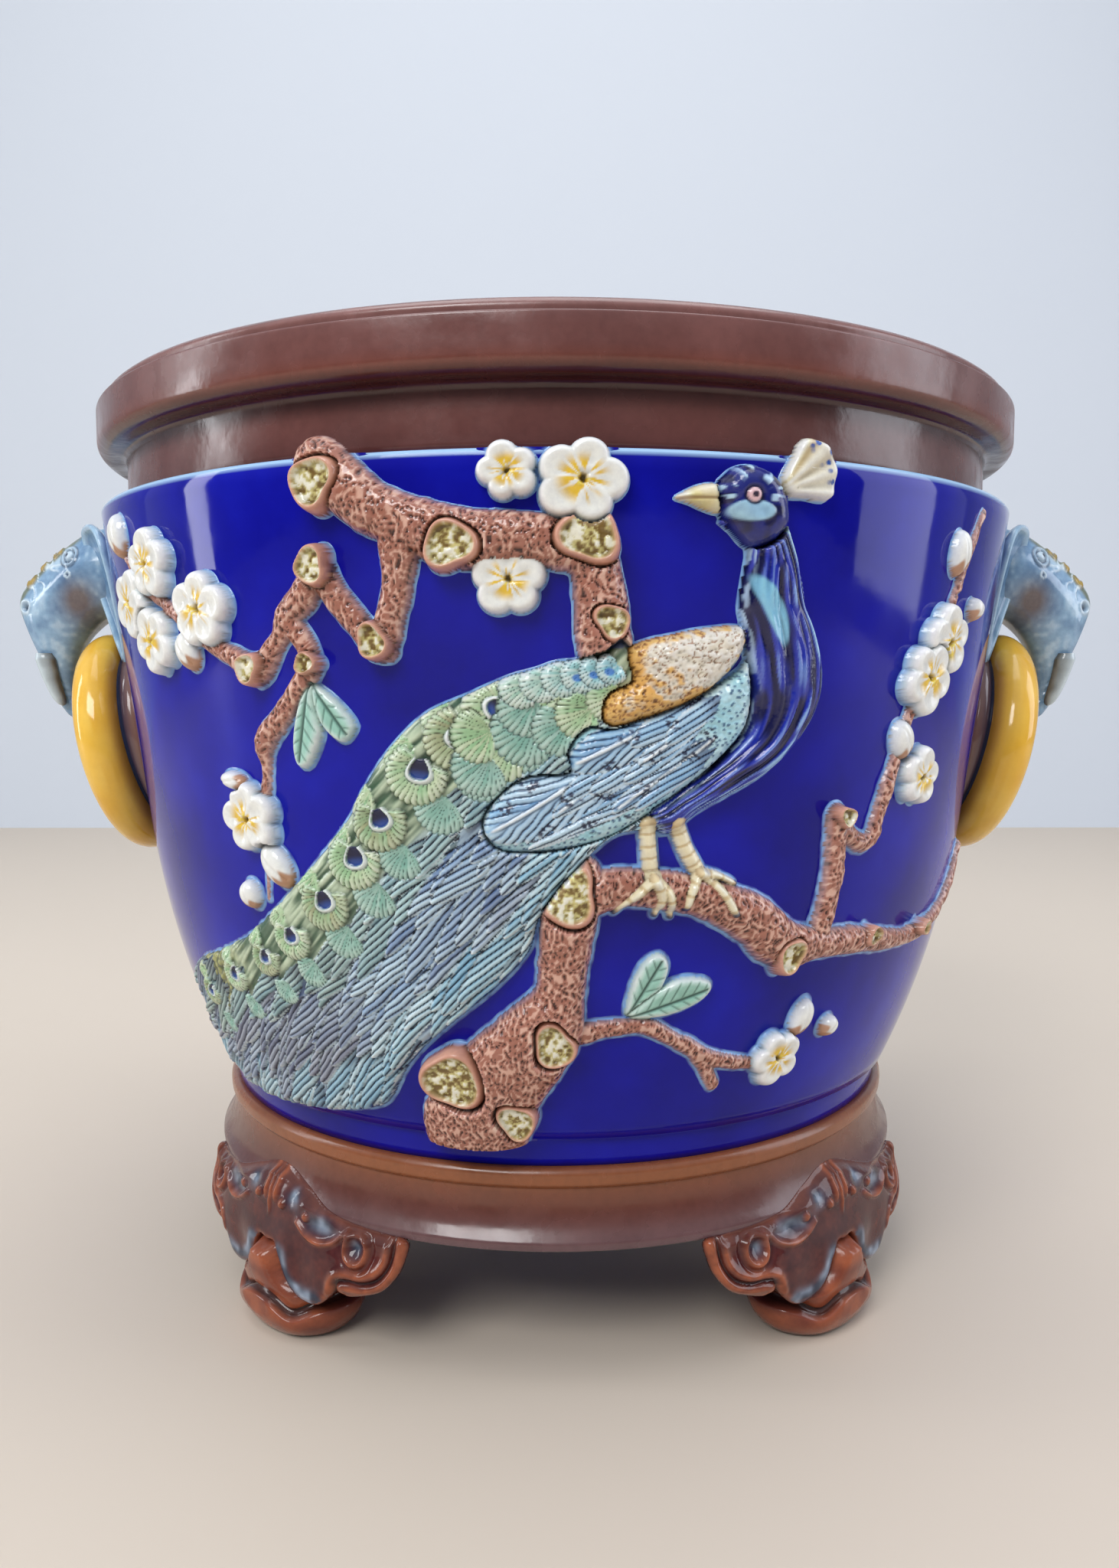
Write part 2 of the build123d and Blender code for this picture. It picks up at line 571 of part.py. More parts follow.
def relief():
    """Every sprig of one face, each cut to sit on the wall and beside its neighbours."""
    core = wall_core(0, wall_top)
    past_wall = wall_top_radius + cut_overrun
    on_axis = (Align.CENTER, Align.CENTER, Align.MIN)
    above = Pos(0, 0, wall_top) * Cylinder(past_wall, neck_height, align=on_axis)
    below = Cylinder(past_wall, wall_foot, align=on_axis)
    disc = regular_outline(knot_facets)
    drop = regular_outline(eye_facets)
    oval = regular_outline(bud_facets, bud_first_angle, bud_width_share)
    petals = blossom_outline()
    knots = [boss(a, h, knot_radius * s, knot_rise, disc) - core - above for a, h, s in knot_shares]
    leaves = [leaf(base, tip) - core for base, tip in leaf_shares]
    blossoms = Part() + [boss(a, h, blossom_radius * s, blossom_rise, petals) for a, h, s in blossom_shares]
    blossoms = blossoms - core - above - knots
    buds = [boss(a, h, bud_radius * s, bud_rise, oval) - core - above - blossoms for a, h, s in bud_shares]
    head = plate(head_shares, head_rise)
    beak = plate(beak_shares, beak_rise) - head
    crest = plate(crest_shares, crest_rise, wall_top + crest_above_wall) - head
    shoulder = plate(shoulder_shares, shoulder_rise)
    wing = plate(wing_shares, wing_rise) - shoulder
    neck = plate(neck_shares, neck_rise) - shoulder - wing - head
    eyes = [boss(a, h, train_eye_radius * s, train_eye_rise, drop) - core for a, h, s in train_eye_shares]
    train = plate(train_shares, train_rise) - shoulder - wing - neck - eyes
    knots = [knot - train for knot in knots]
    legs = Part() + [branch(spine, leg_radius, leg_rise) for spine in leg_shares]
    legs = legs - core - neck - wing
    upper = Part() + [branch(spine) - core for spine in upper_limb_shares]
    upper = upper - above - knots - leaves - blossoms - buds - [shoulder, train]
    lower = Part() + [branch(spine) - core for spine in lower_limb_shares]
    lower = lower - above - below - knots - leaves - blossoms - buds - legs - [wing, train, neck]
    return {
        "upper_branch": [upper], "lower_trunk": [lower], "branch_knots": knots, "leaves": leaves,
        "blossoms": [blossoms], "buds": buds, "bird_head": [head], "bird_beak": [beak],
        "bird_crest": [crest], "bird_neck": [neck], "bird_shoulder": [shoulder], "bird_wing": [wing],
        "bird_train": [train], "train_eyes": eyes, "bird_legs": [legs],
    }


save("pot_body", pot_body())
save("rim_collar", rim_collar())
save("base_ring", base_ring())
pad = foot_pad()
bracket = foot_bracket(pad)
for place, azimuth in feet.items():
    save(f"foot_pad_{place}", turned(pad, azimuth))
    save(f"foot_bracket_{place}", turned(group([bracket]), azimuth))

core = wall_core(0, wall_top)
head = elephant_head(core)
ring = handle_ring(core, head)
for side, azimuth in sides.items():
    save(f"elephant_head_{side}", turned(group([head]), azimuth))
    save(f"elephant_ears_{side}", turned(group(ears(core, head, ring)), azimuth))
    save(f"elephant_tusks_{side}", turned(group(tusks(head)), azimuth))
    save(f"handle_ring_{side}", turned(group([ring]), azimuth))

for name, shapes in relief().items():
    for face, azimuth in faces.items():
        save(f"{name}_{face}", turned(group(shapes), azimuth))
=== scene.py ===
import bpy
import math
import numpy as np
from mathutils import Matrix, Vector


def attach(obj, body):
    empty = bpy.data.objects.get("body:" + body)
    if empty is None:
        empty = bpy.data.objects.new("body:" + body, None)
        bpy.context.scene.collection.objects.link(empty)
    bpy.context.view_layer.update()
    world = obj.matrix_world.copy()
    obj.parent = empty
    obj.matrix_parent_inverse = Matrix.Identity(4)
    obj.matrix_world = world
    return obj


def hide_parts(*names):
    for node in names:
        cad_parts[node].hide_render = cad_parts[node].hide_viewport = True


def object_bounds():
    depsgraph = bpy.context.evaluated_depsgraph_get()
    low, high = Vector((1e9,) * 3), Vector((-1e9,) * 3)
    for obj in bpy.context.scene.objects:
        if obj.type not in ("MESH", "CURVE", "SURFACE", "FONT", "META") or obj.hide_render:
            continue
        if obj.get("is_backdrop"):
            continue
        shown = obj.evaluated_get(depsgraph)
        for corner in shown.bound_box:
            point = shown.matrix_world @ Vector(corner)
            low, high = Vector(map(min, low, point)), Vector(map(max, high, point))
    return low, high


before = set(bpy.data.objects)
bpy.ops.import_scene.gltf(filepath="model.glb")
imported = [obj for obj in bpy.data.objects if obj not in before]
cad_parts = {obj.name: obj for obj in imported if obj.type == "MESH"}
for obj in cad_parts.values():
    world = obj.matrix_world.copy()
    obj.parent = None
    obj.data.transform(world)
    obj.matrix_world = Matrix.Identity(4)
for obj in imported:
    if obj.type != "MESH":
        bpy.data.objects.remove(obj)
cad_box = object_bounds()
scene = bpy.context.scene

# sizes, in millimetres as in the CAD source
MM = 0.001
WALL_FOOT, WALL_TOP, RIM_TOP = 92.0, 324.0, 369.5
R_FOOT, R_WAIST, R_TOP = 154.0, 183.2, 199.2
WAIST = WALL_FOOT + (WALL_TOP - WALL_FOOT) * 0.45
TAPER = math.atan2(R_TOP - R_WAIST, WALL_TOP - WAIST)
CHORD = math.hypot(R_WAIST - R_FOOT, WAIST - WALL_FOOT)
SWELL = CHORD / (2 * math.sin(math.atan2(R_WAIST - R_FOOT, WAIST - WALL_FOOT) - TAPER))
CENTRE_R, CENTRE_Z = R_WAIST - SWELL * math.cos(TAPER), WAIST + SWELL * math.sin(TAPER)
PANEL = 185.0                       # radius that turns an azimuth into millimetres on the flat panel
QUARTER = PANEL * math.pi / 2


def wall(z):
    """The wall's outer radius at this height."""
    z = np.asarray(z, float)
    above = R_WAIST + (z - WAIST) * math.tan(TAPER)
    below = CENTRE_R + np.sqrt(np.maximum(SWELL ** 2 - (np.minimum(z, WAIST) - CENTRE_Z) ** 2, 0))
    return np.where(z >= WAIST, above, below)


# the photograph's size and its camera
PHOTO_W, PHOTO_H = 1462, 2048
CAM = np.array([0.0, -552.4, 252.3])
FOCAL, PITCH, YAW = 1510.0, 0.0846, 0.0031
ALONG_RAY = np.linspace(280, 640, 3601)     # distances at which a ray may meet the wall


def on_panel(points, stand=4.0):
    """Photo points (pixels) on the front face, as flat panel millimetres (azimuth length, height)."""
    p = np.asarray(points, float)
    u, v = p[:, 0] - PHOTO_W / 2, p[:, 1] - PHOTO_H / 2
    c, s = math.cos(PITCH), math.sin(PITCH)
    d = np.stack([u, c * FOCAL - s * v, -s * FOCAL - c * v], 1)
    c, s = math.cos(-YAW), math.sin(-YAW)
    d = np.stack([c * d[:, 0] - s * d[:, 1], s * d[:, 0] + c * d[:, 1], d[:, 2]], 1)
    d /= np.linalg.norm(d, axis=1)[:, None]
    q = CAM + ALONG_RAY[None, :, None] * d[:, None, :]
    g = np.hypot(q[..., 0], q[..., 1]) - wall(q[..., 2]) - stand
    hit = np.where((g < 0).any(1), np.argmax(g < 0, 1), g.argmin(1))
    q = q[np.arange(len(p)), hit]
    return np.stack([np.arctan2(q[:, 0], -q[:, 1]) * PANEL, q[:, 2]], 1)


def spot(pixel, stand):
    """One photo point on the panel."""
    return on_panel([pixel], stand)[0]


def unit(angle):
    return np.array([math.cos(angle), math.sin(angle)])


def turned(x, z, direction):
    """Steps in x and z as steps along a direction and to its left."""
    c, s = direction
    return x * c + z * s, z * c - x * s


# mesh tools
def new_object(name, verts, faces, mat, nodes, paint=None, uv=None, turn=0.0):
    """A mesh piece from vertices in millimetres; it rides on the root body and replaces CAD nodes."""
    me = bpy.data.meshes.new(name)
    faces = np.asarray(faces, np.int32)
    n, k = faces.shape
    me.vertices.add(len(verts))
    me.vertices.foreach_set("co", (np.asarray(verts, float) * MM).astype(np.float32).ravel())
    me.loops.add(n * k)
    me.loops.foreach_set("vertex_index", faces.ravel())
    me.polygons.add(n)
    me.polygons.foreach_set("loop_start", np.arange(0, n * k, k, dtype=np.int32))
    me.polygons.foreach_set("use_smooth", np.ones(n, bool))
    if uv is not None:
        layer = me.uv_layers.new(name="OFBake")
        layer.data.foreach_set("uv", np.asarray(uv, np.float32)[faces.ravel()].ravel())
    if paint is not None:
        layer = me.color_attributes.new("paint", "FLOAT_COLOR", "POINT")
        rgba = np.ones((len(verts), 4), np.float32)
        rgba[:, :3] = np.clip(paint, 0, 1)
        layer.data.foreach_set("color", rgba.ravel())
    me.update(calc_edges=True)
    me.validate()
    me.materials.append(mat)
    ob = bpy.data.objects.new(name, me)
    scene.collection.objects.link(ob)
    ob.rotation_euler = (0, 0, turn)
    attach(ob, "root")
    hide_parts(*nodes)
    return ob


def grid_faces(rows, cols, wrap_rows=False, wrap_cols=False):
    """Quads over a grid of rows x cols points."""
    i = np.arange(rows if wrap_rows else rows - 1)[:, None]
    j = np.arange(cols if wrap_cols else cols - 1)[None, :]
    i2, j2 = (i + 1) % rows, (j + 1) % cols
    a, b, c, d = i * cols + j, i * cols + j2, i2 * cols + j2, i2 * cols + j
    return np.stack(np.broadcast_arrays(a, b, c, d), -1).reshape(-1, 4)


def closed_sheet(front, back, faces):
    """A front and a back skin with walls along their common edge, as vertices and faces."""
    edges = np.concatenate([faces[:, [k, (k + 1) % 4]] for k in range(4)])
    _, first, count = np.unique(np.sort(edges, 1), axis=0, return_index=True, return_counts=True)
    rim = edges[first[count == 1]]
    n = len(front)
    walls = np.stack([rim[:, 1], rim[:, 0], rim[:, 0] + n, rim[:, 1] + n], 1)
    return np.concatenate([front, back]), np.concatenate([faces, faces[:, ::-1] + n, walls])


def rounded(points, radius, steps=4):
    """A closed or open (r, z) profile with its corners rounded; radius is one number for each corner."""
    points = [np.array(p, float) for p in points]
    out = [points[0]]
    for a, b, c, r in zip(points, points[1:], points[2:], radius[1:-1]):
        ab, cb = a - b, c - b
        r = min(r, 0.45 * np.linalg.norm(ab), 0.45 * np.linalg.norm(cb))
        p, q = b + ab / np.linalg.norm(ab) * r, b + cb / np.linalg.norm(cb) * r
        if r < 0.05:
            out.append(b)
            continue
        for t in np.linspace(0, 1, steps + 1):
            out.append((1 - t) ** 2 * p + 2 * t * (1 - t) * b + t * t * q)
    return out + [points[-1]]


def subdivided(profile, step):
    """The same profile with extra points so that no run is longer than step."""
    out = [profile[0]]
    for a, b in zip(profile, profile[1:]):
        n = max(1, int(math.ceil(np.linalg.norm(np.array(b) - np.array(a)) / step)))
        out += [np.array(a) + (np.array(b) - np.array(a)) * k / n for k in range(1, n + 1)]
    return out


def spun(name, profile, mat, node, segments, step, close=True):
    """A turned piece: the (r, z) profile carried round the axis."""
    prof = np.array(subdivided([np.array(p, float) for p in profile], step))
    if close:
        prof = prof[:-1]
    a = np.linspace(0, 2 * math.pi, segments, endpoint=False)
    r, z = prof[:, 0][:, None], prof[:, 1][:, None]
    p = np.stack(np.broadcast_arrays(r * np.cos(a), r * np.sin(a), z + 0 * a), -1)
    faces = grid_faces(len(prof), segments, wrap_rows=close, wrap_cols=True)[:, ::-1]
    return new_object(name, p.reshape(-1, 3), faces, mat, [node])


def curve_points(points, step=1.5, closed=False):
    """A smooth line through the points (Catmull-Rom), in steps of about this length."""
    p = np.asarray(points, float)
    n = len(p)
    out = []
    for i in range(n if closed else n - 1):
        if closed:
            p0, p1, p2, p3 = p[(i - 1) % n], p[i], p[(i + 1) % n], p[(i + 2) % n]
        else:
            p0, p1, p2, p3 = p[max(i - 1, 0)], p[i], p[i + 1], p[min(i + 2, n - 1)]
        m = max(1, int(np.linalg.norm(p2[:2] - p1[:2]) / step))
        t = (np.arange(m) / m)[:, None]
        out.append(0.5 * (2 * p1 + (p2 - p0) * t + (2 * p0 - 5 * p1 + 4 * p2 - p3) * t ** 2
                          + (3 * p1 - p0 - 3 * p2 + p3) * t ** 3))
    out = np.concatenate(out)
    return out if closed else np.concatenate([out, p[-1:]])


# noise on the panel
def hashed(i, j, seed):
    """A repeatable pseudo-random number from 0 to 1 for each whole-number cell."""
    n = (i.astype(np.int64) * 374761393 + j.astype(np.int64) * 668265263 + seed * 1442695041) & 0xFFFFFFFF
    n = ((n ^ (n >> 13)) * 1274126177) & 0xFFFFFFFF
    n = ((n ^ (n >> 16)) * 2246822519) & 0xFFFFFFFF
    return ((n ^ (n >> 15)) & 0xFFFFFF) / float(0xFFFFFF)


def noise(x, y, seed=0):
    """Smooth value noise from 0 to 1."""
    i, j = np.floor(x), np.floor(y)
    u, v = x - i, y - j
    u, v = u * u * (3 - 2 * u), v * v * (3 - 2 * v)
    a, b = hashed(i, j, seed), hashed(i + 1, j, seed)
    c, d = hashed(i, j + 1, seed), hashed(i + 1, j + 1, seed)
    return (a * (1 - u) + b * u) * (1 - v) + (c * (1 - u) + d * u) * v


def fractal(x, y, seed=0, octaves=3):
    """Noise with finer noise laid over it, from 0 to 1."""
    total, weight = 0, 0
    for k in range(octaves):
        total = total + noise(x * 2 ** k, y * 2 ** k, seed + k) * 0.5 ** k
        weight += 0.5 ** k
    return total / weight


def cells(x, y, seed=0):
    """Distance to the nearest jittered cell point, and that cell's own number."""
    i, j = np.floor(x), np.floor(y)
    best, own = np.full(x.shape, 9.0), np.zeros(x.shape)
    for di in (-1, 0, 1):
        for dj in (-1, 0, 1):
            ci, cj = i + di, j + dj
            px, py = ci + hashed(ci, cj, seed), cj + hashed(ci, cj, seed + 1)
            d = np.hypot(x - px, y - py)
            nearer = d < best
            best = np.where(nearer, d, best)
            own = np.where(nearer, hashed(ci, cj, seed + 2), own)
    return best, own


def blur(a, radius):
    """Two box blurs, one after the other, on both axes."""
    for _ in range(2):
        for axis in (0, 1):
            pad = [(0, 0), (0, 0)]
            pad[axis] = (radius + 1, radius)
            c = np.cumsum(np.pad(a, pad, mode="edge"), axis=axis)
            n = a.shape[axis]
            hi = np.take(c, np.arange(n) + 2 * radius + 1, axis=axis)
            lo = np.take(c, np.arange(n), axis=axis)
            a = (hi - lo) / (2 * radius + 1)
    return a


def smoothstep(a, b, x):
    """0 below a and 1 above b, with a soft rise between them."""
    t = np.clip((x - a) / (b - a), 0, 1)
    return t * t * (3 - 2 * t)


def mix(a, b, t):
    """Colours a and b mixed by a field t."""
    a, b, t = np.asarray(a, float), np.asarray(b, float), np.asarray(t)[..., None]
    return a * (1 - t) + b * t


def layered(colour, *coats):
    """Coats of (colour, share) laid over a first colour, one after the other."""
    for coat, share in coats:
        colour = mix(colour, coat, share)
    return colour


def bell(distance, width):
    """1 at no distance, and next to nothing beyond twice the width."""
    return np.exp(-(distance / width) ** 2)


# the panel's height field, and the sprigs that own its places
CELL = 0.42
X0, X1, Z0, Z1 = -192.0, 224.0, 91.0, 335.0
GX, GZ = np.meshgrid(np.arange(X0, X1, CELL), np.arange(Z0, Z1, CELL))
HEIGHT = np.full(GX.shape, -9.0)          # stand off the wall
PAINT = np.zeros(GX.shape + (3,))         # linear colour
LABEL = np.zeros(GX.shape, np.int16)      # which sprig owns the place
REACH = np.full(GX.shape, 99.0)           # distance to the nearest sprig's outline
NEAR = np.zeros(GX.shape, np.int16)       # whose outline that is
SLOTS = {"upper_branch": "bark_glaze", "lower_trunk": "bark_glaze", "branch_knots": "knot_glaze",
         "leaves": "leaf_glaze", "blossoms": "blossom_glaze", "buds": "bud_glaze",
         "bird_head": "bird_head_glaze", "bird_beak": "beak_glaze", "bird_crest": "crest_glaze",
         "bird_neck": "bird_neck_glaze", "bird_shoulder": "turquoise_glaze", "bird_wing": "wing_glaze",
         "bird_train": "train_glaze", "train_eyes": "train_eye_glaze", "bird_legs": "leg_glaze"}
ID = {name: i + 1 for i, name in enumerate(SLOTS)}


def window(x0, x1, z0, z1):
    """The part of the grid that covers this box, as slices and coordinates."""
    a, b = max(0, int((z0 - Z0) / CELL)), min(GX.shape[0], int((z1 - Z0) / CELL) + 2)
    c, d = max(0, int((x0 - X0) / CELL)), min(GX.shape[1], int((x1 - X0) / CELL) + 2)
    w = (slice(a, b), slice(c, d))
    return w, GX[w], GZ[w]


def window_of(points, margin):
    """The part of the grid that covers these points and a margin round them."""
    p = np.asarray(points)
    low, high = p.min(0) - margin, p.max(0) + margin
    return window(low[0], high[0], low[1], high[1])


def around(centre, reach):
    """The part of the grid within reach of a place."""
    cx, cz = centre
    return window(cx - reach, cx + reach, cz - reach, cz + reach)


def segment(a, b, x, z):
    """The place nearest to x, z on a run from a to b: its share of the run, and the steps away from it."""
    (ax, az), (bx, bz) = a, b
    dx, dz = bx - ax, bz - az
    t = np.clip(((x - ax) * dx + (z - az) * dz) / (dx * dx + dz * dz + 1e-12), 0, 1)
    return t, x - ax - t * dx, z - az - t * dz


def line_distance(points, x, z):
    """Distance to an open smooth line."""
    best = np.full(x.shape, 1e9)
    p = curve_points(points, 1.0)
    for a, b in zip(p, p[1:]):
        _, ex, ez = segment(a, b, x, z)
        best = np.minimum(best, ex ** 2 + ez ** 2)
    return np.sqrt(best)


def outline_distance(poly, x, z):
    """Signed distance to a closed outline, minus inside."""
    best, inside = np.full(x.shape, 1e9), np.zeros(x.shape, bool)
    for (ax, az), (bx, bz) in zip(poly, np.roll(poly, -1, 0)):
        _, ex, ez = segment((ax, az), (bx, bz), x, z)
        best = np.minimum(best, ex ** 2 + ez ** 2)
        if abs(bz - az) > 1e-12:
            inside ^= ((az > z) != (bz > z)) & (x < (bx - ax) * (z - az) / (bz - az) + ax)
    return np.where(inside, -1, 1) * np.sqrt(best)


def outlined(points, step=2.0, margin=5.0):
    """The grid round a smooth closed outline, and the signed distance to it."""
    outline = curve_points(points, step, closed=True)
    w, x, z = window_of(outline, margin)
    return w, x, z, outline_distance(outline, x, z)


def over_grid(w, d):
    """A distance field spread over the whole grid, which keeps feathers inside their part."""
    field = np.full(GX.shape, 99.0)
    field[w] = d
    return field


def lay(name, w, d, h, rgb, over=False):
    """Put a sprig on the panel: d is the distance to its outline, h its height, rgb its colours."""
    i = ID[name]
    inside = d < 0
    take = inside & (over | (h > HEIGHT[w]))
    HEIGHT[w] = np.where(take, h, HEIGHT[w])
    PAINT[w] = np.where(take[..., None], rgb, PAINT[w])
    LABEL[w] = np.where(take, i, LABEL[w])
    near = d < REACH[w]
    REACH[w] = np.where(near, d, REACH[w])
    NEAR[w] = np.where(near, i, NEAR[w])


def put(name, w, inside, h, c):
    """Put feathers on a sprig that lies there already."""
    HEIGHT[w] = np.where(inside, h, HEIGHT[w])
    PAINT[w] = np.where(inside[..., None], c, PAINT[w])
    LABEL[w] = np.where(inside, ID[name], LABEL[w])


def dome(d, rise, width, power=2.2):
    """A rounded edge: from 0 at the outline up to rise at this width inside it."""
    t = np.clip(-d / width, 0, 1)
    return rise * (1 - (1 - t) ** power) ** (1 / power)


def strip(left, right, x, z, density=0.6):
    """Coordinates inside a strip between two lines: s from 0 (left) to 1, and t from 0 to 1 along it."""
    def along(line, n):
        p = curve_points(line, 1.0)
        run = np.concatenate([[0], np.cumsum(np.linalg.norm(np.diff(p, axis=0), axis=1))])
        u = np.linspace(0, run[-1], n)
        return np.stack([np.interp(u, run, p[:, 0]), np.interp(u, run, p[:, 1])], 1), run[-1]
    n = int(max(along(left, 2)[1], along(right, 2)[1]) / (CELL * density)) + 2
    a, _ = along(left, n)
    b, _ = along(right, n)
    m = int(np.linalg.norm(a - b, axis=1).max() / (CELL * density)) + 2
    s = np.linspace(0, 1, m)[None, :]
    px = a[:, :1] * (1 - s) + b[:, :1] * s
    pz = a[:, 1:] * (1 - s) + b[:, 1:] * s
    col = np.round((px - x[0, 0]) / CELL).astype(int).clip(0, x.shape[1] - 1)
    row = np.round((pz - z[0, 0]) / CELL).astype(int).clip(0, x.shape[0] - 1)
    flat = (row * x.shape[1] + col).ravel()
    count = np.bincount(flat, minlength=x.size).astype(float)
    shares = []
    for share in (s + 0 * px, np.linspace(0, 1, n)[:, None] + 0 * px):
        total = np.bincount(flat, share.ravel(), x.size)
        shares.append(np.where(count > 0, total / np.maximum(count, 1), 0.5).reshape(x.shape))
    return shares


def panel(shares):
    """Shares of a quarter turn and of the wall's height, as panel millimetres."""
    p = np.asarray(shares, float)
    q = p.copy()
    q[:, 0] = p[:, 0] * QUARTER
    q[:, 1] = WALL_FOOT + p[:, 1] * (WALL_TOP - WALL_FOOT)
    return q


# colours (linear)
COBALT = (0.006, 0.004, 0.28)
BREAK = (0.22, 0.42, 0.74)
BARK, BARK_LIGHT, BARK_DARK = (0.33, 0.125, 0.082), (0.64, 0.37, 0.28), (0.040, 0.012, 0.010)
KNOT_LIP, KNOT_HOLLOW = (0.42, 0.19, 0.12), (0.62, 0.55, 0.22)
KNOT_DARK, KNOT_PALE = (0.20, 0.12, 0.03), (0.84, 0.82, 0.66)
WHITE, RAY = (0.82, 0.83, 0.78), (0.78, 0.50, 0.04)
MINT, MINT_LIGHT = (0.34, 0.60, 0.50), (0.62, 0.80, 0.72)
MINT_DEEP, DARK_GREEN = (0.16, 0.38, 0.28), (0.02, 0.07, 0.06)

# branches: share of a quarter turn, share of the wall's height, and girth
UPPER = [
    [(-0.235, 0.985, 1.0), (-0.19, 0.93, 0.95), (-0.145, 0.905, 0.95), (-0.1, 0.885, 1.05),
     (-0.05, 0.885, 0.93), (0.0, 0.878, 0.88), (0.035, 0.855, 0.85), (0.045, 0.8, 0.88),
     (0.05, 0.745, 0.95)],
    [(-0.157, 0.89, 0.85), (-0.16, 0.845, 0.62), (-0.168, 0.8, 0.55), (-0.183, 0.745, 0.62)],
    [(-0.19, 0.745, 0.55), (-0.205, 0.77, 0.52), (-0.226, 0.8, 0.52), (-0.25, 0.85, 0.62)],
    [(-0.255, 0.85, 0.55), (-0.272, 0.817, 0.6), (-0.297, 0.787, 0.5), (-0.312, 0.755, 0.42),
     (-0.345, 0.715, 0.6), (-0.385, 0.735, 0.42), (-0.425, 0.757, 0.36), (-0.51, 0.82, 0.33),
     (-0.56, 0.852, 0.28), (-0.628, 0.915, 0.2)],
    [(-0.295, 0.783, 0.45), (-0.277, 0.749, 0.45), (-0.271, 0.718, 0.48), (-0.29, 0.69, 0.42),
     (-0.318, 0.648, 0.42), (-0.348, 0.61, 0.5), (-0.35, 0.575, 0.28), (-0.357, 0.53, 0.25),
     (-0.377, 0.37, 0.14)],
]
LOWER = [
    [(-0.115, 0.02, 2.5), (-0.085, 0.09, 2.1), (-0.022, 0.18, 1.65), (0.003, 0.24, 1.05),
     (0.008, 0.29, 0.95), (0.013, 0.35, 1.05), (0.02, 0.42, 1.1)],
    [(0.03, 0.4, 0.95), (0.075, 0.41, 0.75), (0.125, 0.405, 0.75), (0.185, 0.385, 0.8),
     (0.235, 0.355, 0.95), (0.285, 0.31, 0.95), (0.34, 0.303, 0.68), (0.4, 0.3, 0.6),
     (0.47, 0.288, 0.5), (0.55, 0.28, 0.45), (0.64, 0.295, 0.4), (0.7, 0.335, 0.35),
     (0.75, 0.405, 0.25)],
    [(0.342, 0.32, 0.55), (0.35, 0.41, 0.5), (0.346, 0.5, 0.5)],
    [(0.353, 0.485, 0.4), (0.385, 0.458, 0.42), (0.41, 0.46, 0.42), (0.422, 0.51, 0.38),
     (0.462, 0.665, 0.3), (0.514, 0.793, 0.28), (0.543, 0.88, 0.24), (0.578, 0.965, 0.15)],
    [(0.02, 0.185, 0.45), (0.105, 0.197, 0.36), (0.16, 0.165, 0.36), (0.21, 0.132, 0.33),
     (0.27, 0.115, 0.3)],
    [(0.185, 0.145, 0.33), (0.221, 0.085, 0.28)],
]
GIRTH, BRANCH_RISE = 9.0, 9.0


def limb(spine):
    """A limb's field: signed outline distance, how far across it a place lies (0 to 1), and girth."""
    p = panel([q[:2] for q in spine])
    p = curve_points(np.column_stack([p, [q[2] * GIRTH for q in spine]]), 2.5)
    w, x, z = window_of(p[:, :2], p[:, 2].max() + 4)
    wob = 0.8 * (noise(x / 9, z / 9, 5) - 0.5) + 0.6 * (noise(x / 3.3, z / 3.3, 6) - 0.5)
    best = np.full(x.shape, -9.0)
    dist = np.full(x.shape, 99.0)
    girth = np.ones(x.shape)
    for a, b in zip(p, p[1:]):
        t, ex, ez = segment(a[:2], b[:2], x, z)
        g = a[2] + (b[2] - a[2]) * t + wob
        d = np.hypot(ex, ez)
        f = (g - d) / g
        take = f > best
        best = np.where(take, f, best)
        dist = np.where(take, d - g, dist)
        girth = np.where(take, g, girth)
    return w, x, z, dist, np.clip(1 - best, 0, 1), girth


def bark(x, z):
    """Bark's relief and colour: dense pits between worn ridges."""
    jx = x + 2.6 * (noise(x / 3.0, z / 3.0, 11) - 0.5)
    jz = z + 2.6 * (noise(x / 3.0, z / 3.0, 12) - 0.5)
    f, own = cells(jx / 1.35, jz / 2.1, 21)
    radius = 0.10 + 0.34 * own
    pit = 1 - smoothstep(radius * 0.45, radius, f)
    big = fractal(x / 7, z / 7, 31)
    rise = -0.75 * pit + 0.5 * (big - 0.5)
    col = mix(BARK, BARK_LIGHT, smoothstep(0.35, 0.7, 0.5 * big + 0.5 * smoothstep(0.4, 0.75, f)))
    return rise, mix(col, BARK_DARK, pit * 0.93)


def branches(name, limbs):
    """Limbs of one sprig, with bark all over and a greyed edge."""
    for spine in limbs:
        w, x, z, d, a, g = limb(spine)
        r, col = bark(x, z)
        h = np.minimum(BRANCH_RISE * g / GIRTH, BRANCH_RISE * 1.25) * np.sqrt(np.clip(1 - a ** 2.3, 0, 1))
        col = mix(col, (0.42, 0.33, 0.36), smoothstep(-1.6, 0, d) * 0.55)
        lay(name, w, d, h + r * np.clip(-d / 1.5, 0, 1), col)


branches("upper_branch", UPPER)
branches("lower_trunk", LOWER)

# knots: the same shares, and size
KNOTS = [(-0.238, 0.96, 1.15), (-0.101, 0.874, 1.15), (0.031, 0.884, 1.3), (0.055, 0.775, 0.8),
         (-0.186, 0.75, 0.8), (-0.249, 0.852, 0.85), (-0.345, 0.716, 0.75), (-0.268, 0.722, 0.55),
         (-0.132, 0.112, 1.75), (-0.052, 0.045, 1.15), (-0.002, 0.175, 1.2), (0.013, 0.404, 1.5),
         (0.287, 0.296, 0.9), (0.431, 0.305, 0.55), (0.568, 0.292, 0.5), (0.348, 0.5, 0.55)]


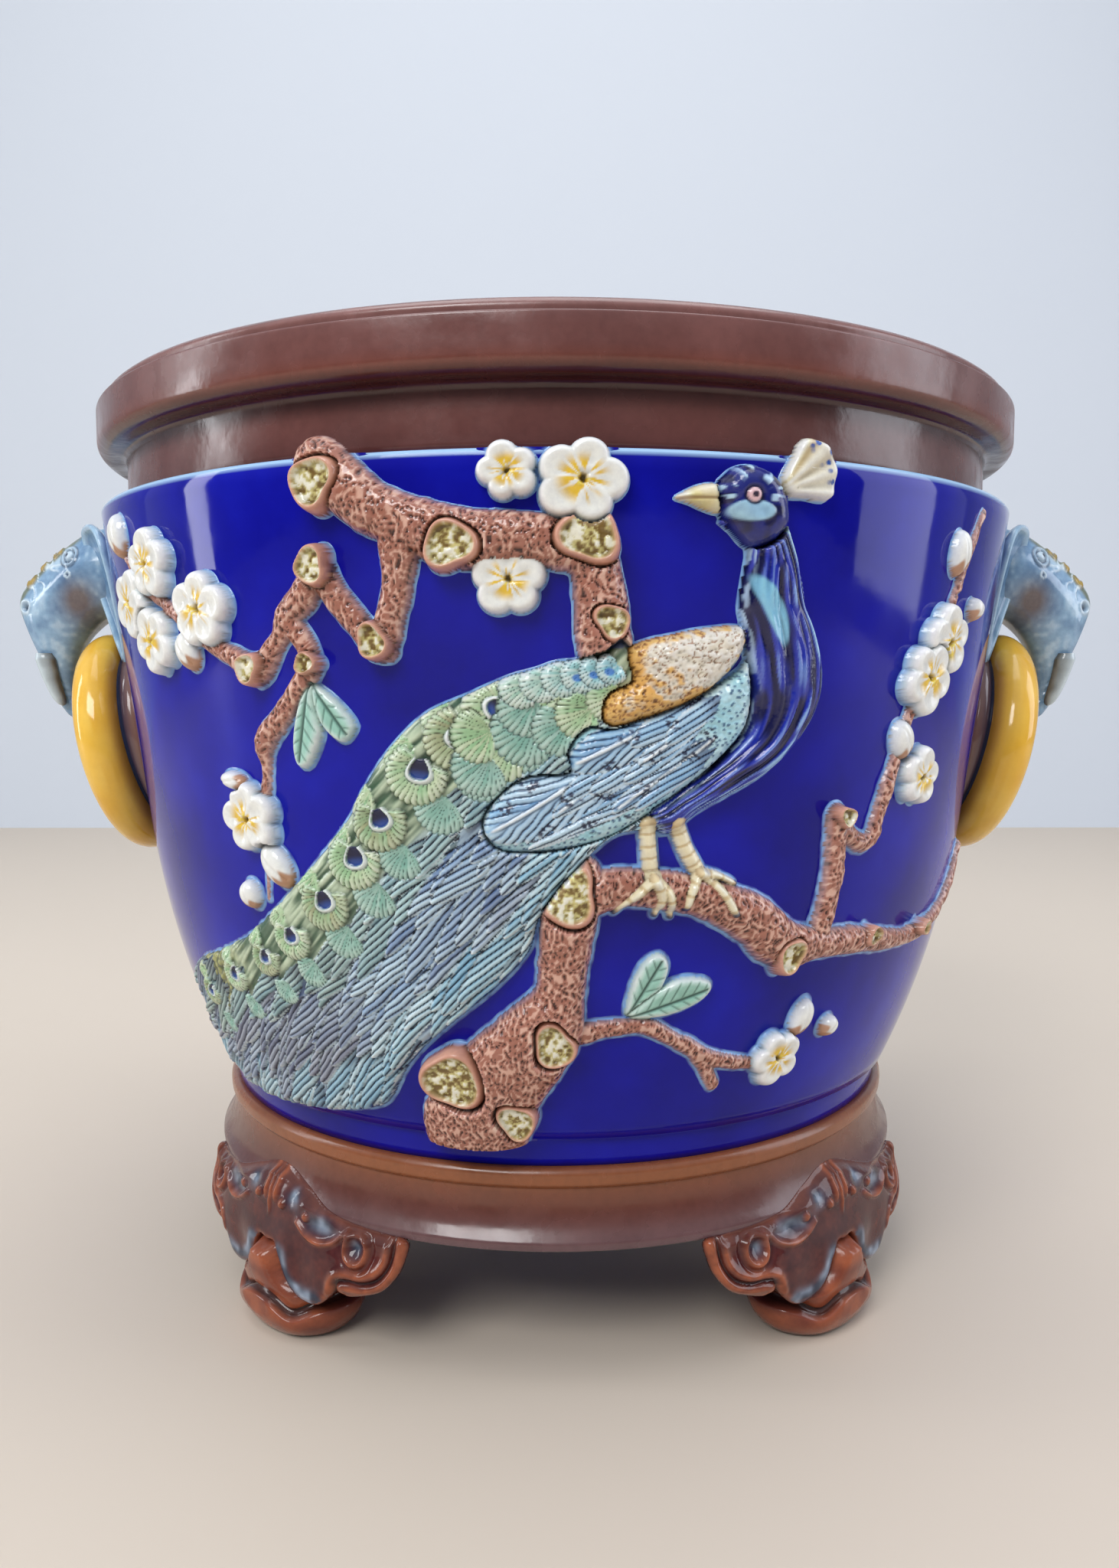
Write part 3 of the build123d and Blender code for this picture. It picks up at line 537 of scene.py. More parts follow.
def knot(k, place, size):
    """A sawn branch stub: a lip round a rough, yellowish hollow."""
    cx, cz = panel([place])[0]
    rad = 7.0 * size
    w, x, z = around((cx, cz), rad + 4)
    ang = np.arctan2(z - cz, x - cx)
    wob = 1 + 0.10 * np.sin(3 * ang + 2.1 * k) + 0.10 * np.sin(2 * ang + k)
    r = np.hypot(x - cx, (z - cz) * 0.92) / (rad * wob)
    lip = bell(r - 0.84, 0.16)
    hollow = smoothstep(0.80, 0.62, r)
    rough = fractal(x / 1.6, z / 1.6, 50 + k)
    h = min(9.0, 5 + 4 * size) * np.sqrt(np.clip(1 - r ** 6, 0, 1))
    h = h + 1.8 * lip - 1.6 * hollow + 1.5 * hollow * (rough - 0.5)
    col = layered(KNOT_LIP, (KNOT_HOLLOW, hollow), (KNOT_DARK, hollow * smoothstep(0.52, 0.34, rough)),
                  (KNOT_PALE, hollow * smoothstep(0.52, 0.62, rough)))
    lay("branch_knots", w, (r - 1) * rad, h, col, over=True)


for k, (across, up, size) in enumerate(KNOTS):
    knot(k, (across, up), size)

# leaves: outline, foot and tip in the photo
LEAVES = [
    ([(400, 890), (430, 910), (457, 940), (459, 955), (443, 971), (418, 950), (402, 910)], (398, 886),
     (455, 966)),
    ([(402, 893), (385, 920), (378, 970), (384, 1001), (400, 1001), (416, 960), (408, 920)], (400, 890),
     (388, 1004)),
    ([(819, 1331), (826, 1290), (843, 1258), (865, 1247), (877, 1262), (868, 1290), (845, 1315)], (819, 1331),
     (870, 1250)),
    ([(822, 1331), (850, 1302), (890, 1280), (925, 1280), (934, 1292), (915, 1312), (870, 1330)], (822, 1331),
     (934, 1290)),
]


def leaf(outline, foot, tip):
    """A leaf with a midrib and slanting veins."""
    w, x, z, d = outlined(on_panel(outline), 1.5, 4.0)
    foot, tip = on_panel([foot, tip])
    length = np.linalg.norm(tip - foot)
    a, b = turned(x - foot[0], z - foot[1], (tip - foot) / length)
    rib = bell(b, 0.55) * (a < length * 0.93)
    vein_at = np.abs((((a - 0.9 * np.abs(b)) / 4.3) % 1) - 0.5) * 4.3
    vein = bell(vein_at, 0.4) * smoothstep(0.3, 1.2, np.abs(b)) * smoothstep(-0.6, -1.8, d)
    h = dome(d, 3.6, 2.6) + 0.5 * np.abs(b) / 4 - 0.7 * rib - 0.4 * vein
    col = layered(MINT, (MINT_LIGHT, smoothstep(-3.2, -0.6, d)), (MINT_DEEP, 0.5 * fractal(x / 4, z / 4, 71)),
                  (DARK_GREEN, np.clip(0.9 * rib + 0.65 * vein, 0, 1)))
    lay("leaves", w, d, h, col, over=True)


for outline, foot, tip in LEAVES:
    leaf(outline, foot, tip)

# blossoms: photo place, radius and turn
BLOSSOMS = [(193, 737, 12.0, 0.3), (172, 788, 12.5, 1.1), (202, 838, 12.0, 0.8), (260, 796, 13.0, 0.2),
            (325, 1070, 12.0, 0.5), (761, 626, 12.5, 0.05), (662, 614, 8.5, 0.6), (664, 757, 10.5, 0.3),
            (1239, 838, 12.5, 0.4), (1213, 886, 12.5, 1.0), (1203, 1014, 10.5, 0.2), (1014, 1382, 10.5, 0.7)]
BEHIND_BOUGH = 7                          # the one blossom that a bough partly hides
PETALS = 5


def blossom(k, place, rad, turn):
    """Five cupped petals round a core, with yellow rays."""
    cx, cz = spot(place, 4.0)
    w, x, z = around((cx, cz), rad * 1.3 + 3)
    d_all, h_all = np.full(x.shape, 99.0), np.full(x.shape, -9.0)
    edge = np.full(x.shape, 99.0)
    for p in range(PETALS):
        way = unit(turn + p * 2 * math.pi / PETALS)
        ox, oz = np.array([cx, cz]) + rad * 0.56 * way
        petal = rad * (0.50 + 0.04 * math.sin(3.1 * k + 1.7 * p))
        along, side = turned(x - ox, z - oz, way)
        d = np.hypot(along, side * 0.96) - petal
        cup = dome(d, 5.0, 2.6) - 0.9 * bell(np.hypot(along + 1, side), petal * 0.55) + 0.075 * p
        edge = np.where(cup > h_all, d, edge)
        d_all, h_all = np.minimum(d_all, d), np.maximum(h_all, cup)
    r, ang = np.hypot(x - cx, z - cz), np.arctan2(z - cz, x - cx)
    rays = smoothstep(0.42, 0.58, noise(ang * 5.2 + 31 * k, r / rad * 2.0, 80))
    rays = rays * smoothstep(0.70, 0.35, r / rad)
    core = smoothstep(0.2, 0.1, r / rad)
    h = h_all * smoothstep(0.0, 0.28, r / rad + 0.10) + 1.5 * core
    col = layered(WHITE, ((0.36, 0.48, 0.56), smoothstep(-1.2, 0.0, edge) * 0.85),
                  (RAY, np.clip(rays + 0.6 * core, 0, 1)))
    lay("blossoms", w, np.minimum(d_all, r - rad * 0.3), h + 1.2, col, over=(k != BEHIND_BOUGH))


for k, (across, down, rad, turn) in enumerate(BLOSSOMS):
    blossom(k, (across, down), rad, turn)

# buds: photo place, half width, half length and lean
BUDS = [(147, 700, 6.5, 8.5, 1.6), (239, 850, 6.0, 7.5, 2.0), (356, 1132, 6.0, 9.0, 2.2),
        (322, 1169, 5.0, 5.5, 1.7), (1262, 722, 5.2, 8.5, 1.5), (1280, 796, 4.6, 4.6, 1.0),
        (1185, 967, 5.6, 7.5, 1.9), (1052, 1331, 5.0, 7.5, 1.3), (1087, 1341, 4.5, 4.5, 0.6),
        (300, 1020, 3.5, 6.5, 3.0)]


def bud(place, wide, long, lean):
    """A closed bud with a fold, in a brown calyx."""
    cx, cz = spot(place, 4.0)
    w, x, z = around((cx, cz), long + 5)
    u, v = turned(x - cx, z - cz, unit(lean))
    r = np.hypot(u / long, v / wide)
    fold = bell(v - 0.25 * u, 0.5) * (r < 0.8) * 0.4
    calyx = smoothstep(-0.35, -0.6, u / long + 0.15 * np.cos(v * 1.6))
    col = layered(WHITE, ((0.62, 0.68, 0.74), smoothstep(0.6, 1, r)), ((0.42, 0.22, 0.12), calyx))
    lay("buds", w, (r - 1) * wide, 5.5 * np.sqrt(np.clip(1 - r ** 2.4, 0, 1)) - fold, col, over=True)


for across, down, wide, long, lean in BUDS:
    bud((across, down), wide, long, lean)

# the bird: outlines and places are photo points
INK, DEEP, AQUA, CREAM = (0.003, 0.004, 0.055), (0.004, 0.010, 0.16), (0.30, 0.60, 0.68), (0.74, 0.66, 0.50)

# train: its upper and lower outlines
TRAIN_TOP = [(825, 846), (790, 850), (756, 860), (725, 864), (699, 873), (663, 883), (608, 907), (551, 933),
             (503, 981), (471, 1029), (449, 1073), (420, 1111), (391, 1147), (359, 1182), (321, 1220),
             (285, 1240), (256, 1258)]
TRAIN_LOW = [(880, 1030), (848, 1080), (800, 1095), (740, 1150), (705, 1200), (690, 1245), (650, 1290),
             (600, 1330), (560, 1362), (530, 1395), (505, 1440), (470, 1450), (420, 1448), (370, 1436),
             (330, 1412), (300, 1370), (276, 1318), (256, 1262)]
TRAIN_STAND, TRAIN_RISE, TRAIN_EDGE = 3, 4.2, 6.0
FLOW = math.radians(224)                  # the feathers run from the body down to the left
top_line, low_line = on_panel(TRAIN_TOP, TRAIN_STAND), on_panel(TRAIN_LOW, TRAIN_STAND)
w, x, z, d = outlined(np.concatenate([top_line, low_line[::-1][1:]]))
d = d + 0.9 * (noise(x / 2.6, z / 2.6, 91) - 0.5) * smoothstep(-60, -120, x)
TRAIN = over_grid(w, d)
TRAIN_BASE = np.where(TRAIN < 0, dome(TRAIN, TRAIN_RISE, TRAIN_EDGE), 0)


def train_ground(w, x, z, d):
    """What shows between the train's feathers: fine strands, and knobs at the far end."""
    run, left = turned(x, z, unit(FLOW))
    share = strip(top_line, low_line, x, z)[0]
    strand = noise(-left / 1.7 + 1.5 * noise(x / 14, z / 14, 92), run / 12.0, 93)
    fine = noise(-left / 0.9, run / 9.0, 94)
    green = smoothstep(0.42, 0.30, share + 0.06 * (strand - 0.5))
    lit = smoothstep(0.3, 0.75, 0.6 * strand + 0.4 * fine)
    blues = mix((0.05, 0.09, 0.20), (0.34, 0.46, 0.55), lit)
    greens = mix((0.06, 0.12, 0.07), (0.50, 0.60, 0.42), lit)
    far_end = smoothstep(-118, -150, x)
    knobs = cells(x / 3.0, z / 2.6, 95)[0]
    knob_tone = mix((0.30, 0.30, 0.10), (0.10, 0.12, 0.05), smoothstep(0.3, 0.6, knobs))
    h = TRAIN_BASE[w] + 0.9 * (strand - 0.5) + 0.4 * (fine - 0.5) + far_end * 1.2 * (0.5 - knobs)
    col = layered(blues, (greens, green), (knob_tone, far_end * smoothstep(0.75, 0.45, share)))
    lay("bird_train", w, d, h, col, over=True)


train_ground(w, x, z, d)


def feather(name, foot, tip, width, lift, tones, seed, part, barbs, groove, blunt, slant=0.85, shaft=0.0,
            shaft_tone=None, streak=None):
    """One overlapping feather (panel mm): a tongue that rises towards its tip, with barbs or long streaks."""
    base, limit = part
    (bx, bz), (tx, tz) = foot, tip
    length = math.hypot(tx - bx, tz - bz)
    w, x, z = window(min(bx, tx) - width, max(bx, tx) + width, min(bz, tz) - width, max(bz, tz) + width)
    along, side = turned(x - bx, z - bz, ((tx - bx) / length, (tz - bz) / length))
    side = side + 0.06 * width * np.sin(along / length * 5 + seed)
    a, b = along / length, side / width
    half = np.sqrt(np.clip(1 - np.clip((a - 0.3) / 0.7, 0, 1) ** blunt, 0, 1)) * smoothstep(-0.25, 0.25, a)
    half = half * (1 + 0.05 * np.cos(2 * math.pi * (along - slant * np.abs(side)) / barbs))
    d = np.maximum((np.abs(b) - half) * width, (a - 1) * length)
    inside = (d < 0) & (a > -0.12) & (limit[w] < -0.3)
    if streak is None:
        phase = (along - slant * np.abs(side)) / barbs + 0.5 * noise(x / 4, z / 4, seed)
        way, beside = np.sign(side), smoothstep(0.0, 0.35, np.abs(b))
    else:
        bow = side + streak * (along - 0.5 * length) + 0.35 * np.sin(along / 8.0 + seed)
        phase = bow / barbs + 0.25 * noise(x / 5, z / 5, seed)
        way, beside = 0 * side, 1.0
    line = 0.5 + 0.5 * np.cos(2 * math.pi * phase)
    cut = smoothstep(0.70, 0.98, line) * beside
    own = noise(np.floor(phase) * 0.7, way, seed + 5)
    rib = bell(side, 0.45) * smoothstep(0.97, 0.9, a)
    crown = np.sqrt(np.clip(1 - (np.abs(b) / np.maximum(half, 0.05)) ** 2.4, 0, 1))
    h = base[w] + lift * (0.2 + 0.8 * np.clip(a, 0, 1)) * crown - groove * cut + shaft * rib
    c = layered(tones[0], (tones[1], np.clip(0.75 * own + 0.35 * line, 0, 1)),
                (tones[2], smoothstep(-1.0, -0.2, d) * 0.7 * (a > 0.3)),
                (tones[3], np.clip(cut * 0.9 + smoothstep(0.3, 0.0, a) * 0.6, 0, 1)))
    if shaft_tone is not None:
        beside_rib = 0.8 * bell(np.abs(side) - 0.85, 0.28) * smoothstep(0.95, 0.85, a)
        c = layered(c, (shaft_tone, rib), (tones[3], beside_rib))
    put(name, w, inside, h, c)


def fan(centre, heading, reach, lift, tones, seed, count, spread, squash):
    """A scallop of barbs on the train, which opens from its centre towards the heading in degrees."""
    cx, cz = centre
    w, x, z = around(centre, reach * 1.25)
    r, phi = np.hypot(x - cx, z - cz), np.arctan2(z - cz, x - cx) - math.radians(heading)
    phi = (phi + math.pi) % (2 * math.pi) - math.pi
    turn = phi + 0.22 * (r / reach) * np.sign(phi) * np.abs(phi) + 0.10 * (noise(x / 3, z / 3, seed) - 0.5)
    k = turn * count / (2 * spread)
    tooth = np.abs(np.cos(math.pi * k))
    edge = reach * (squash + (1 - squash) * np.cos(np.clip(phi, -1.6, 1.6))) * (0.93 + 0.07 * tooth ** 0.5)
    edge = edge * smoothstep(spread + 0.25, spread - 0.25, np.abs(phi))
    q = r / np.maximum(edge, 0.01)
    inside = (q < 1) & (np.abs(phi) < spread + 0.2) & (TRAIN[w] < -0.2)
    groove = smoothstep(0.34, 0.0, tooth) * smoothstep(0.10, 0.4, q)
    own = hashed(np.floor(k + 0.5), np.zeros(k.shape), seed)
    crown = lift * (0.15 + 0.85 * smoothstep(0.1, 0.8, q)) * np.sqrt(np.clip(1 - q ** 5, 0, 1))
    # colours: pale on the raised rim, dark barb grooves, and a painted shadow along the scallop's outer edge
    c = layered(tones[0], (tones[1], np.clip(own * 1.1 - 0.1, 0, 1)),
                (tones[2], smoothstep(0.55, 0.9, q) * 0.55 * tooth),
                (tones[3], np.clip(groove * 0.9 + smoothstep(0.93, 1.0, q) * 0.6, 0, 1)))
    put("bird_train", w, inside, TRAIN_BASE[w] + crown - 0.45 * groove + 0.25 * tooth, c)


# long feathers of the lower train, from its end up to the body
FEATHER_LONG, FEATHER_WIDE = 36.0, 4.4
rng = np.random.RandomState(7)
top_c, low_c = curve_points(top_line, 1.0), curve_points(low_line, 1.0)
long_ones = []
for t in np.linspace(1.0, 0.04, 22):
    for s in np.linspace(0.40, 1.0, 8):
        s2 = s + rng.uniform(-0.045, 0.045)
        t2 = np.clip(t + rng.uniform(-0.03, 0.03), 0, 1)
        p = top_c[int(t2 * (len(top_c) - 1))] * (1 - s2) + low_c[int(t2 * (len(low_c) - 1))] * s2
        long_ones.append((t2, s2, p, rng.uniform(-0.20, 0.20), rng.uniform(0.75, 1.3)))
long_ones.sort(key=lambda v: -v[0])
for n, (t, s, p, bend, size) in enumerate(long_ones):
    heading = FLOW + 0.16 + bend + 0.30 * (t > 0.8) * rng.uniform(-1, 1) + 0.25 * (s - 0.7)
    v = unit(heading) * FEATHER_LONG * size * (1 - 0.30 * t)
    tint = noise(p[:1] / 26, p[1:] / 18, 400)[0]
    light = mix((0.50, 0.68, 0.80), (0.30, 0.31, 0.36), tint)
    mid = mix((0.05, 0.14, 0.34), (0.08, 0.08, 0.13), tint)
    if s > 0.8:
        light, mid = mix(light, (0.58, 0.80, 0.86), 0.7), mix(mid, (0.12, 0.40, 0.56), 0.6)
    if s < 0.5:
        light, mid = mix(light, (0.42, 0.60, 0.46), 0.5), mix(mid, (0.14, 0.30, 0.22), 0.5)
    feather("bird_train", p - v * 0.45, p + v * 0.55, FEATHER_WIDE * size, 2.5,
            (light, mid, (0.66, 0.80, 0.84), (0.006, 0.014, 0.05)), 100 + n, (TRAIN_BASE, TRAIN), barbs=2.1,
            groove=1.1, blunt=1.5, streak=0.22 + 0.4 * bend)

# eye feathers: photo place, heading in degrees and reach
EYES = [(655, 922, 190, 13.0), (603, 957, 222, 13.5), (548, 1001, 238, 13.5), (494, 1065, 262, 12.5),
        (462, 1115, 252, 13.0), (421, 1172, 262, 12.5), (378, 1218, 262, 10.5), (345, 1246, 250, 9.0),
        (306, 1268, 235, 9.0), (276, 1290, 230, 8.0)]
GREEN_TONES = ((0.30, 0.50, 0.27), (0.50, 0.60, 0.38), (0.66, 0.76, 0.58), (0.035, 0.055, 0.02))
BROWNED = ((0.34, 0.36, 0.20), (0.26, 0.44, 0.24), (0.62, 0.70, 0.52), (0.05, 0.04, 0.02))
TEAL_TONES = ((0.20, 0.40, 0.32), (0.34, 0.52, 0.44), (0.52, 0.66, 0.58), (0.025, 0.06, 0.06))
EYE_STAND = 6


def train_eye(centre, heading, reach):
    """The dark heart of an eye feather, in a pale ring."""
    w, x, z = around(centre, 8)
    u, v = turned(x - centre[0], z - centre[1], unit(math.radians(heading + 25)))
    size = reach / 10.6
    lens = np.hypot((u - 0.6) / (4.3 * size), v / (3.1 * size * (1 + 0.16 * u / size)))
    d = np.where(u < -1.9 * size, 1.0, (lens - 1) * 3.2 * size)
    ring = smoothstep(0.70, 0.78, lens) * smoothstep(1.02, 0.9, lens)
    hole = smoothstep(0.74, 0.66, lens)
    heart = mix((0.004, 0.006, 0.04), (0.02, 0.07, 0.32), smoothstep(0.4, 3.0, u / size))
    h = TRAIN_BASE[w] + 2.9 * np.sqrt(np.clip(1 - lens ** 6, 0, 1)) - 1.6 * hole
    col = layered((0.20, 0.34, 0.20), ((0.66, 0.74, 0.70), ring), (heart, hole))
    lay("train_eyes", w, d, h, col, over=True)


far_to_near = [(k, spot(EYES[k][:2], EYE_STAND), *EYES[k][2:]) for k in reversed(range(len(EYES)))]
inward = unit(math.radians(312))
for k, centre, heading, reach in far_to_near:
    fan(centre + inward * 12.5 + unit(math.radians(heading)), 238, reach * 0.95, 1.3, TEAL_TONES, 220 + k,
        13, 1.35, 0.65)
    fan(centre - inward * 7.5 + np.array([2.0, 2.0]), 215, reach * 0.85, 1.2, GREEN_TONES, 240 + k,
        13, 1.3, 0.6)
for k, centre, heading, reach in far_to_near:
    fan(centre, heading, reach, 2.5, BROWNED if k % 2 else GREEN_TONES, 260 + k, 19, 2.05, 0.72)
    train_eye(centre, heading, reach)

# scallops between the eyes and the wing: photo place, reach, and 1 for teal
MIDDLE = [(668, 968, 16, 0), (702, 942, 16, 1), (735, 915, 14, 0), (700, 915, 13, 1), (765, 900, 13, 0),
          (798, 893, 12, 1), (745, 940, 13, 1), (775, 925, 12, 0), (812, 905, 11, 0), (640, 990, 14, 1),
          (640, 955, 13, 0)]
for k, (across, down, reach, teal) in enumerate(MIDDLE):
    fan(spot((across, down), EYE_STAND), 212 + 14 * math.sin(2.3 * k), reach, 1.7,
        TEAL_TONES if teal else GREEN_TONES, 340 + k, 15, 1.5, 0.6)

# small scallops beside the shoulder, the last ones with a blue glint
SMALL = [(690, 893, 200, 9.5), (716, 886, 205, 9.0), (742, 880, 210, 8.5), (766, 876, 212, 8.0),
         (788, 872, 215, 7.5), (808, 868, 218, 7.0)]
FIRST_GLINT = 3
for k, (across, down, heading, reach) in enumerate(SMALL):
    centre = spot((across, down), EYE_STAND)
    blueing = k / (len(SMALL) - 1)
    tones = (mix((0.34, 0.54, 0.42), (0.22, 0.50, 0.58), blueing),
             mix((0.55, 0.68, 0.55), (0.50, 0.72, 0.74), blueing), (0.70, 0.82, 0.78), (0.02, 0.06, 0.08))
    fan(centre, heading, reach, 2.1, tones, 300 + k, 15, 1.7, 0.7)
    if k >= FIRST_GLINT:
        w, x, z = around(centre, 4)
        off = np.hypot(x - centre[0] + 2.5, (z - centre[1] + 2.2) * 1.3)
        PAINT[w] = mix(PAINT[w], (0.03, 0.16, 0.55), smoothstep(1.9, 1.2, off) * (TRAIN[w] < -0.5) * 0.85)

# wing and lower body
WING_LINE = [(772, 948), (752, 962), (740, 985), (744, 1008), (693, 1013), (665, 1026), (647, 1042),
             (632, 1062), (628, 1078), (637, 1100), (657, 1113), (700, 1115), (747, 1109), (790, 1096),
             (830, 1076), (860, 1056), (893, 1032), (925, 1007), (958, 975), (978, 945), (984, 905),
             (980, 860), (972, 872), (935, 898), (890, 922), (840, 940), (800, 952)]
w, x, z, d = outlined(on_panel(WING_LINE))
WING = over_grid(w, d)
WING_BASE = np.where(WING < 0, dome(WING, 6.2, 5.0), 0)
f, own = cells(x / 1.9, z / 1.5, 131)
col = layered(AQUA, ((0.55, 0.74, 0.80), noise(x / 5, z / 5, 132)),
              ((0.02, 0.07, 0.16), smoothstep(0.36, 0.2, f) * (own > 0.3) * 0.9))
lay("bird_wing", w, d, WING_BASE[w] + 0.8 * (0.5 - f), col, over=True)
SKY_TONES = ((0.50, 0.68, 0.82), (0.15, 0.34, 0.60), (0.70, 0.82, 0.86), (0.008, 0.02, 0.07))
# quills: foot and tip in the photo, half width, and kind (0 plain, 1 with a pale shaft, 2 broad with barbs)
QUILLS = [
    ((905, 1003), (690, 1112), 3.0, 0), ((900, 992), (700, 1106), 3.2, 0), ((895, 980), (690, 1100), 3.4, 1),
    ((885, 965), (705, 1085), 3.6, 0), ((800, 1000), (632, 1090), 10.0, 2), ((870, 950), (722, 1068), 4.0, 1),
    ((862, 945), (735, 1048), 4.2, 0), ((920, 975), (800, 1062), 3.6, 1), ((925, 985), (830, 1058), 3.0, 0),
    ((900, 955), (770, 1036), 4.2, 0), ((890, 935), (742, 1000), 7.5, 2), ((915, 945), (815, 1022), 3.8, 0),
    ((925, 930), (835, 1000), 3.6, 1), ((915, 918), (825, 975), 4.2, 0), ((935, 915), (870, 972), 3.6, 0),
]
for k, (foot, tip, wide, kind) in enumerate(QUILLS):
    foot, tip = on_panel([foot, tip], 7)
    broad = kind == 2
    feather("bird_wing", foot, tip, wide, 1.9 if broad else 1.4, SKY_TONES, 160 + k, (WING_BASE, WING),
            barbs=7.2 if broad else 1.9, groove=0.75, blunt=2.8, slant=3.2, shaft=0.8 if kind else 0.2,
            shaft_tone=(0.76, 0.84, 0.86) if kind else None, streak=None if broad else 0.12)
MARKS = [(823, 963), (883, 943), (853, 987), (800, 1003), (790, 1040), (747, 1045), (693, 1027),
         (657, 1055), (750, 957), (817, 1062), (773, 1080), (905, 985), (930, 960), (895, 912), (860, 925),
         (713, 1085), (845, 1030)]
for k, place in enumerate(MARKS):
    cx, cz = spot(place, 7)
    w, x, z = around((cx, cz), 6)
    f, own = cells((x + 0.5 * z) / 1.9, z / 1.5, 500 + k)
    mark = smoothstep(0.46, 0.36, f) * (own > 0.35) * smoothstep(4.4, 2.6, np.hypot(x - cx, (z - cz) * 1.5))
    PAINT[w] = mix(PAINT[w], (0.01, 0.015, 0.05), mark * 0.95 * (LABEL[w] == ID["bird_wing"]))

# neck and breast, with a pale patch from end to end round its middle
NECK_LEFT = [(948, 672), (962, 694), (982, 716), (978, 750), (972, 790), (976, 815), (981, 859), (985, 905),
             (979, 948), (961, 975), (927, 1007), (888, 1036), (850, 1062)]
NECK_RIGHT = [(1030, 640), (1037, 690), (1052, 740), (1061, 790), (1073, 830), (1081, 870), (1076, 920),
              (1052, 965), (1008, 1010), (955, 1042), (915, 1064), (890, 1084), (868, 1092)]
PATCH_MIDDLE, PATCH_ENDS = (1012, 795), [(996, 748), (1036, 850)]
line_l, line_r = on_panel(NECK_LEFT, 5), on_panel(NECK_RIGHT, 5)
w, x, z, d = outlined(np.concatenate([line_l, line_r[::-1]]))
across, down = strip(line_l, line_r, x, z)
wave = 0.6 * noise(across * 3, down * 9, 140)
strands = noise(across * 17 + wave * 2.2, down * 9, 141)
thin = noise(across * 34 + wave * 3, down * 16, 142)
light = smoothstep(0.60, 0.82, 0.55 * strands + 0.45 * thin) * (0.35 + 0.65 * smoothstep(0.5, 0.95, across))
px, pz = spot(PATCH_MIDDLE, 7)
upper, lower = on_panel(PATCH_ENDS, 7)
u, v = turned(x - px, z - pz, (lower - upper) / np.linalg.norm(lower - upper))
patch = smoothstep(1.0, 0.75, np.hypot(u / 13.5, (v + 0.03 * u * u / 4) / 3.6))
col = layered(INK, (mix(DEEP, (0.012, 0.03, 0.46), 0.6), smoothstep(0.3, 0.6, strands)),
              ((0.30, 0.52, 0.86), light * 0.95),
              ((0.50, 0.70, 0.90), smoothstep(-3.0, -0.4, d) * 0.6 * smoothstep(0.45, 0.6, thin)),
              ((0.22, 0.52, 0.72), patch * 0.92))
lay("bird_neck", w, d, dome(d, 7.6, 9.0, 2.0) + 1.5 * (strands - 0.5) + 0.9 * (thin - 0.5), col, over=True)

# shoulder, which turns from cream to orange between two points
SHOULDER_LINE = [(822, 846), (850, 834), (880, 828), (920, 820), (972, 817), (976, 840), (968, 862),
                 (935, 897), (890, 922), (840, 940), (800, 950), (785, 935), (795, 905), (825, 890),
                 (822, 865)]
SHOULDER_TURN = [(972, 820), (800, 945)]
w, x, z, d = outlined(on_panel(SHOULDER_LINE))
f, own = cells(x / 1.7, z / 1.4, 151)
scale = fractal(x / 3.0, z / 2.2, 152)
start, end = on_panel(SHOULDER_TURN, 8)
way = end - start
tilt = smoothstep(0.15, 0.95, ((x - start[0]) * way[0] + (z - start[1]) * way[1]) / np.sum(way ** 2))
ochre = smoothstep(0.40, 0.56, 0.5 * scale + 0.36 * tilt + 0.25 * smoothstep(-4.5, -0.5, d))
pit = smoothstep(0.36, 0.22, f) * (own > 0.35)
crack = smoothstep(0.035, 0.010, np.abs(fractal(x / 2.4 + 9, z / 1.9, 153) - 0.5))
col = layered(CREAM, ((0.78, 0.76, 0.70), scale), ((0.72, 0.34, 0.04), ochre * 0.9),
              ((0.34, 0.14, 0.05), crack * 0.8), ((0.20, 0.08, 0.02), pit * (0.08 + 0.75 * ochre)))
lay("bird_shoulder", w, d, dome(d, 8.2, 8.0) + 1.6 * (scale - 0.5) - 0.5 * pit - 0.5 * crack, col, over=True)

# two shanks, then toes: photo line and half width
TOES = [([(852, 1080), (855, 1120), (858, 1152)], 2.7), ([(893, 1080), (905, 1112), (922, 1142)], 2.7),
        ([(858, 1150), (835, 1172), (806, 1196)], 1.9), ([(858, 1150), (878, 1172), (884, 1202)], 1.9),
        ([(858, 1150), (868, 1178), (862, 1200)], 1.8), ([(922, 1142), (908, 1166), (902, 1190)], 1.9),
        ([(922, 1142), (945, 1160), (965, 1196)], 1.9), ([(922, 1142), (950, 1148), (972, 1158)], 1.7)]
SHANKS = 2


def leg(k, line, rad):
    """A shank, or a toe that narrows to a dark claw, with bands across it."""
    toe = k >= SHANKS
    p = curve_points(on_panel(line, 9), 1.0)
    w, x, z = window_of(p, 6)
    d, run = np.full(x.shape, 99.0), np.zeros(x.shape)
    for i, (a, b) in enumerate(zip(p, p[1:])):
        t, ex, ez = segment(a, b, x, z)
        e = np.hypot(ex, ez) - rad * (1 - 0.45 * (i + t) / len(p) if toe else 1.0)
        run = np.where(e < d, (i + t) / len(p), run)
        d = np.minimum(d, e)
    under = blur(np.maximum(HEIGHT[w], 0), 3)
    h = np.minimum(np.maximum(under, 2.0) + 2.6 * np.sqrt(np.clip(-d / rad, 0, 1)), 13.0)
    band = 0.5 + 0.5 * np.cos(run * (22 if toe else 34))
    col = layered((0.80, 0.70, 0.44), ((0.40, 0.24, 0.09), smoothstep(0.75, 1.0, band) * 0.6),
                  ((0.03, 0.03, 0.05), smoothstep(0.84, 0.92, run) * toe))
    lay("bird_legs", w, d, h - 0.25 * smoothstep(0.8, 1, band), col, over=True)


for k, (line, rad) in enumerate(TOES):
    leg(k, line, rad)

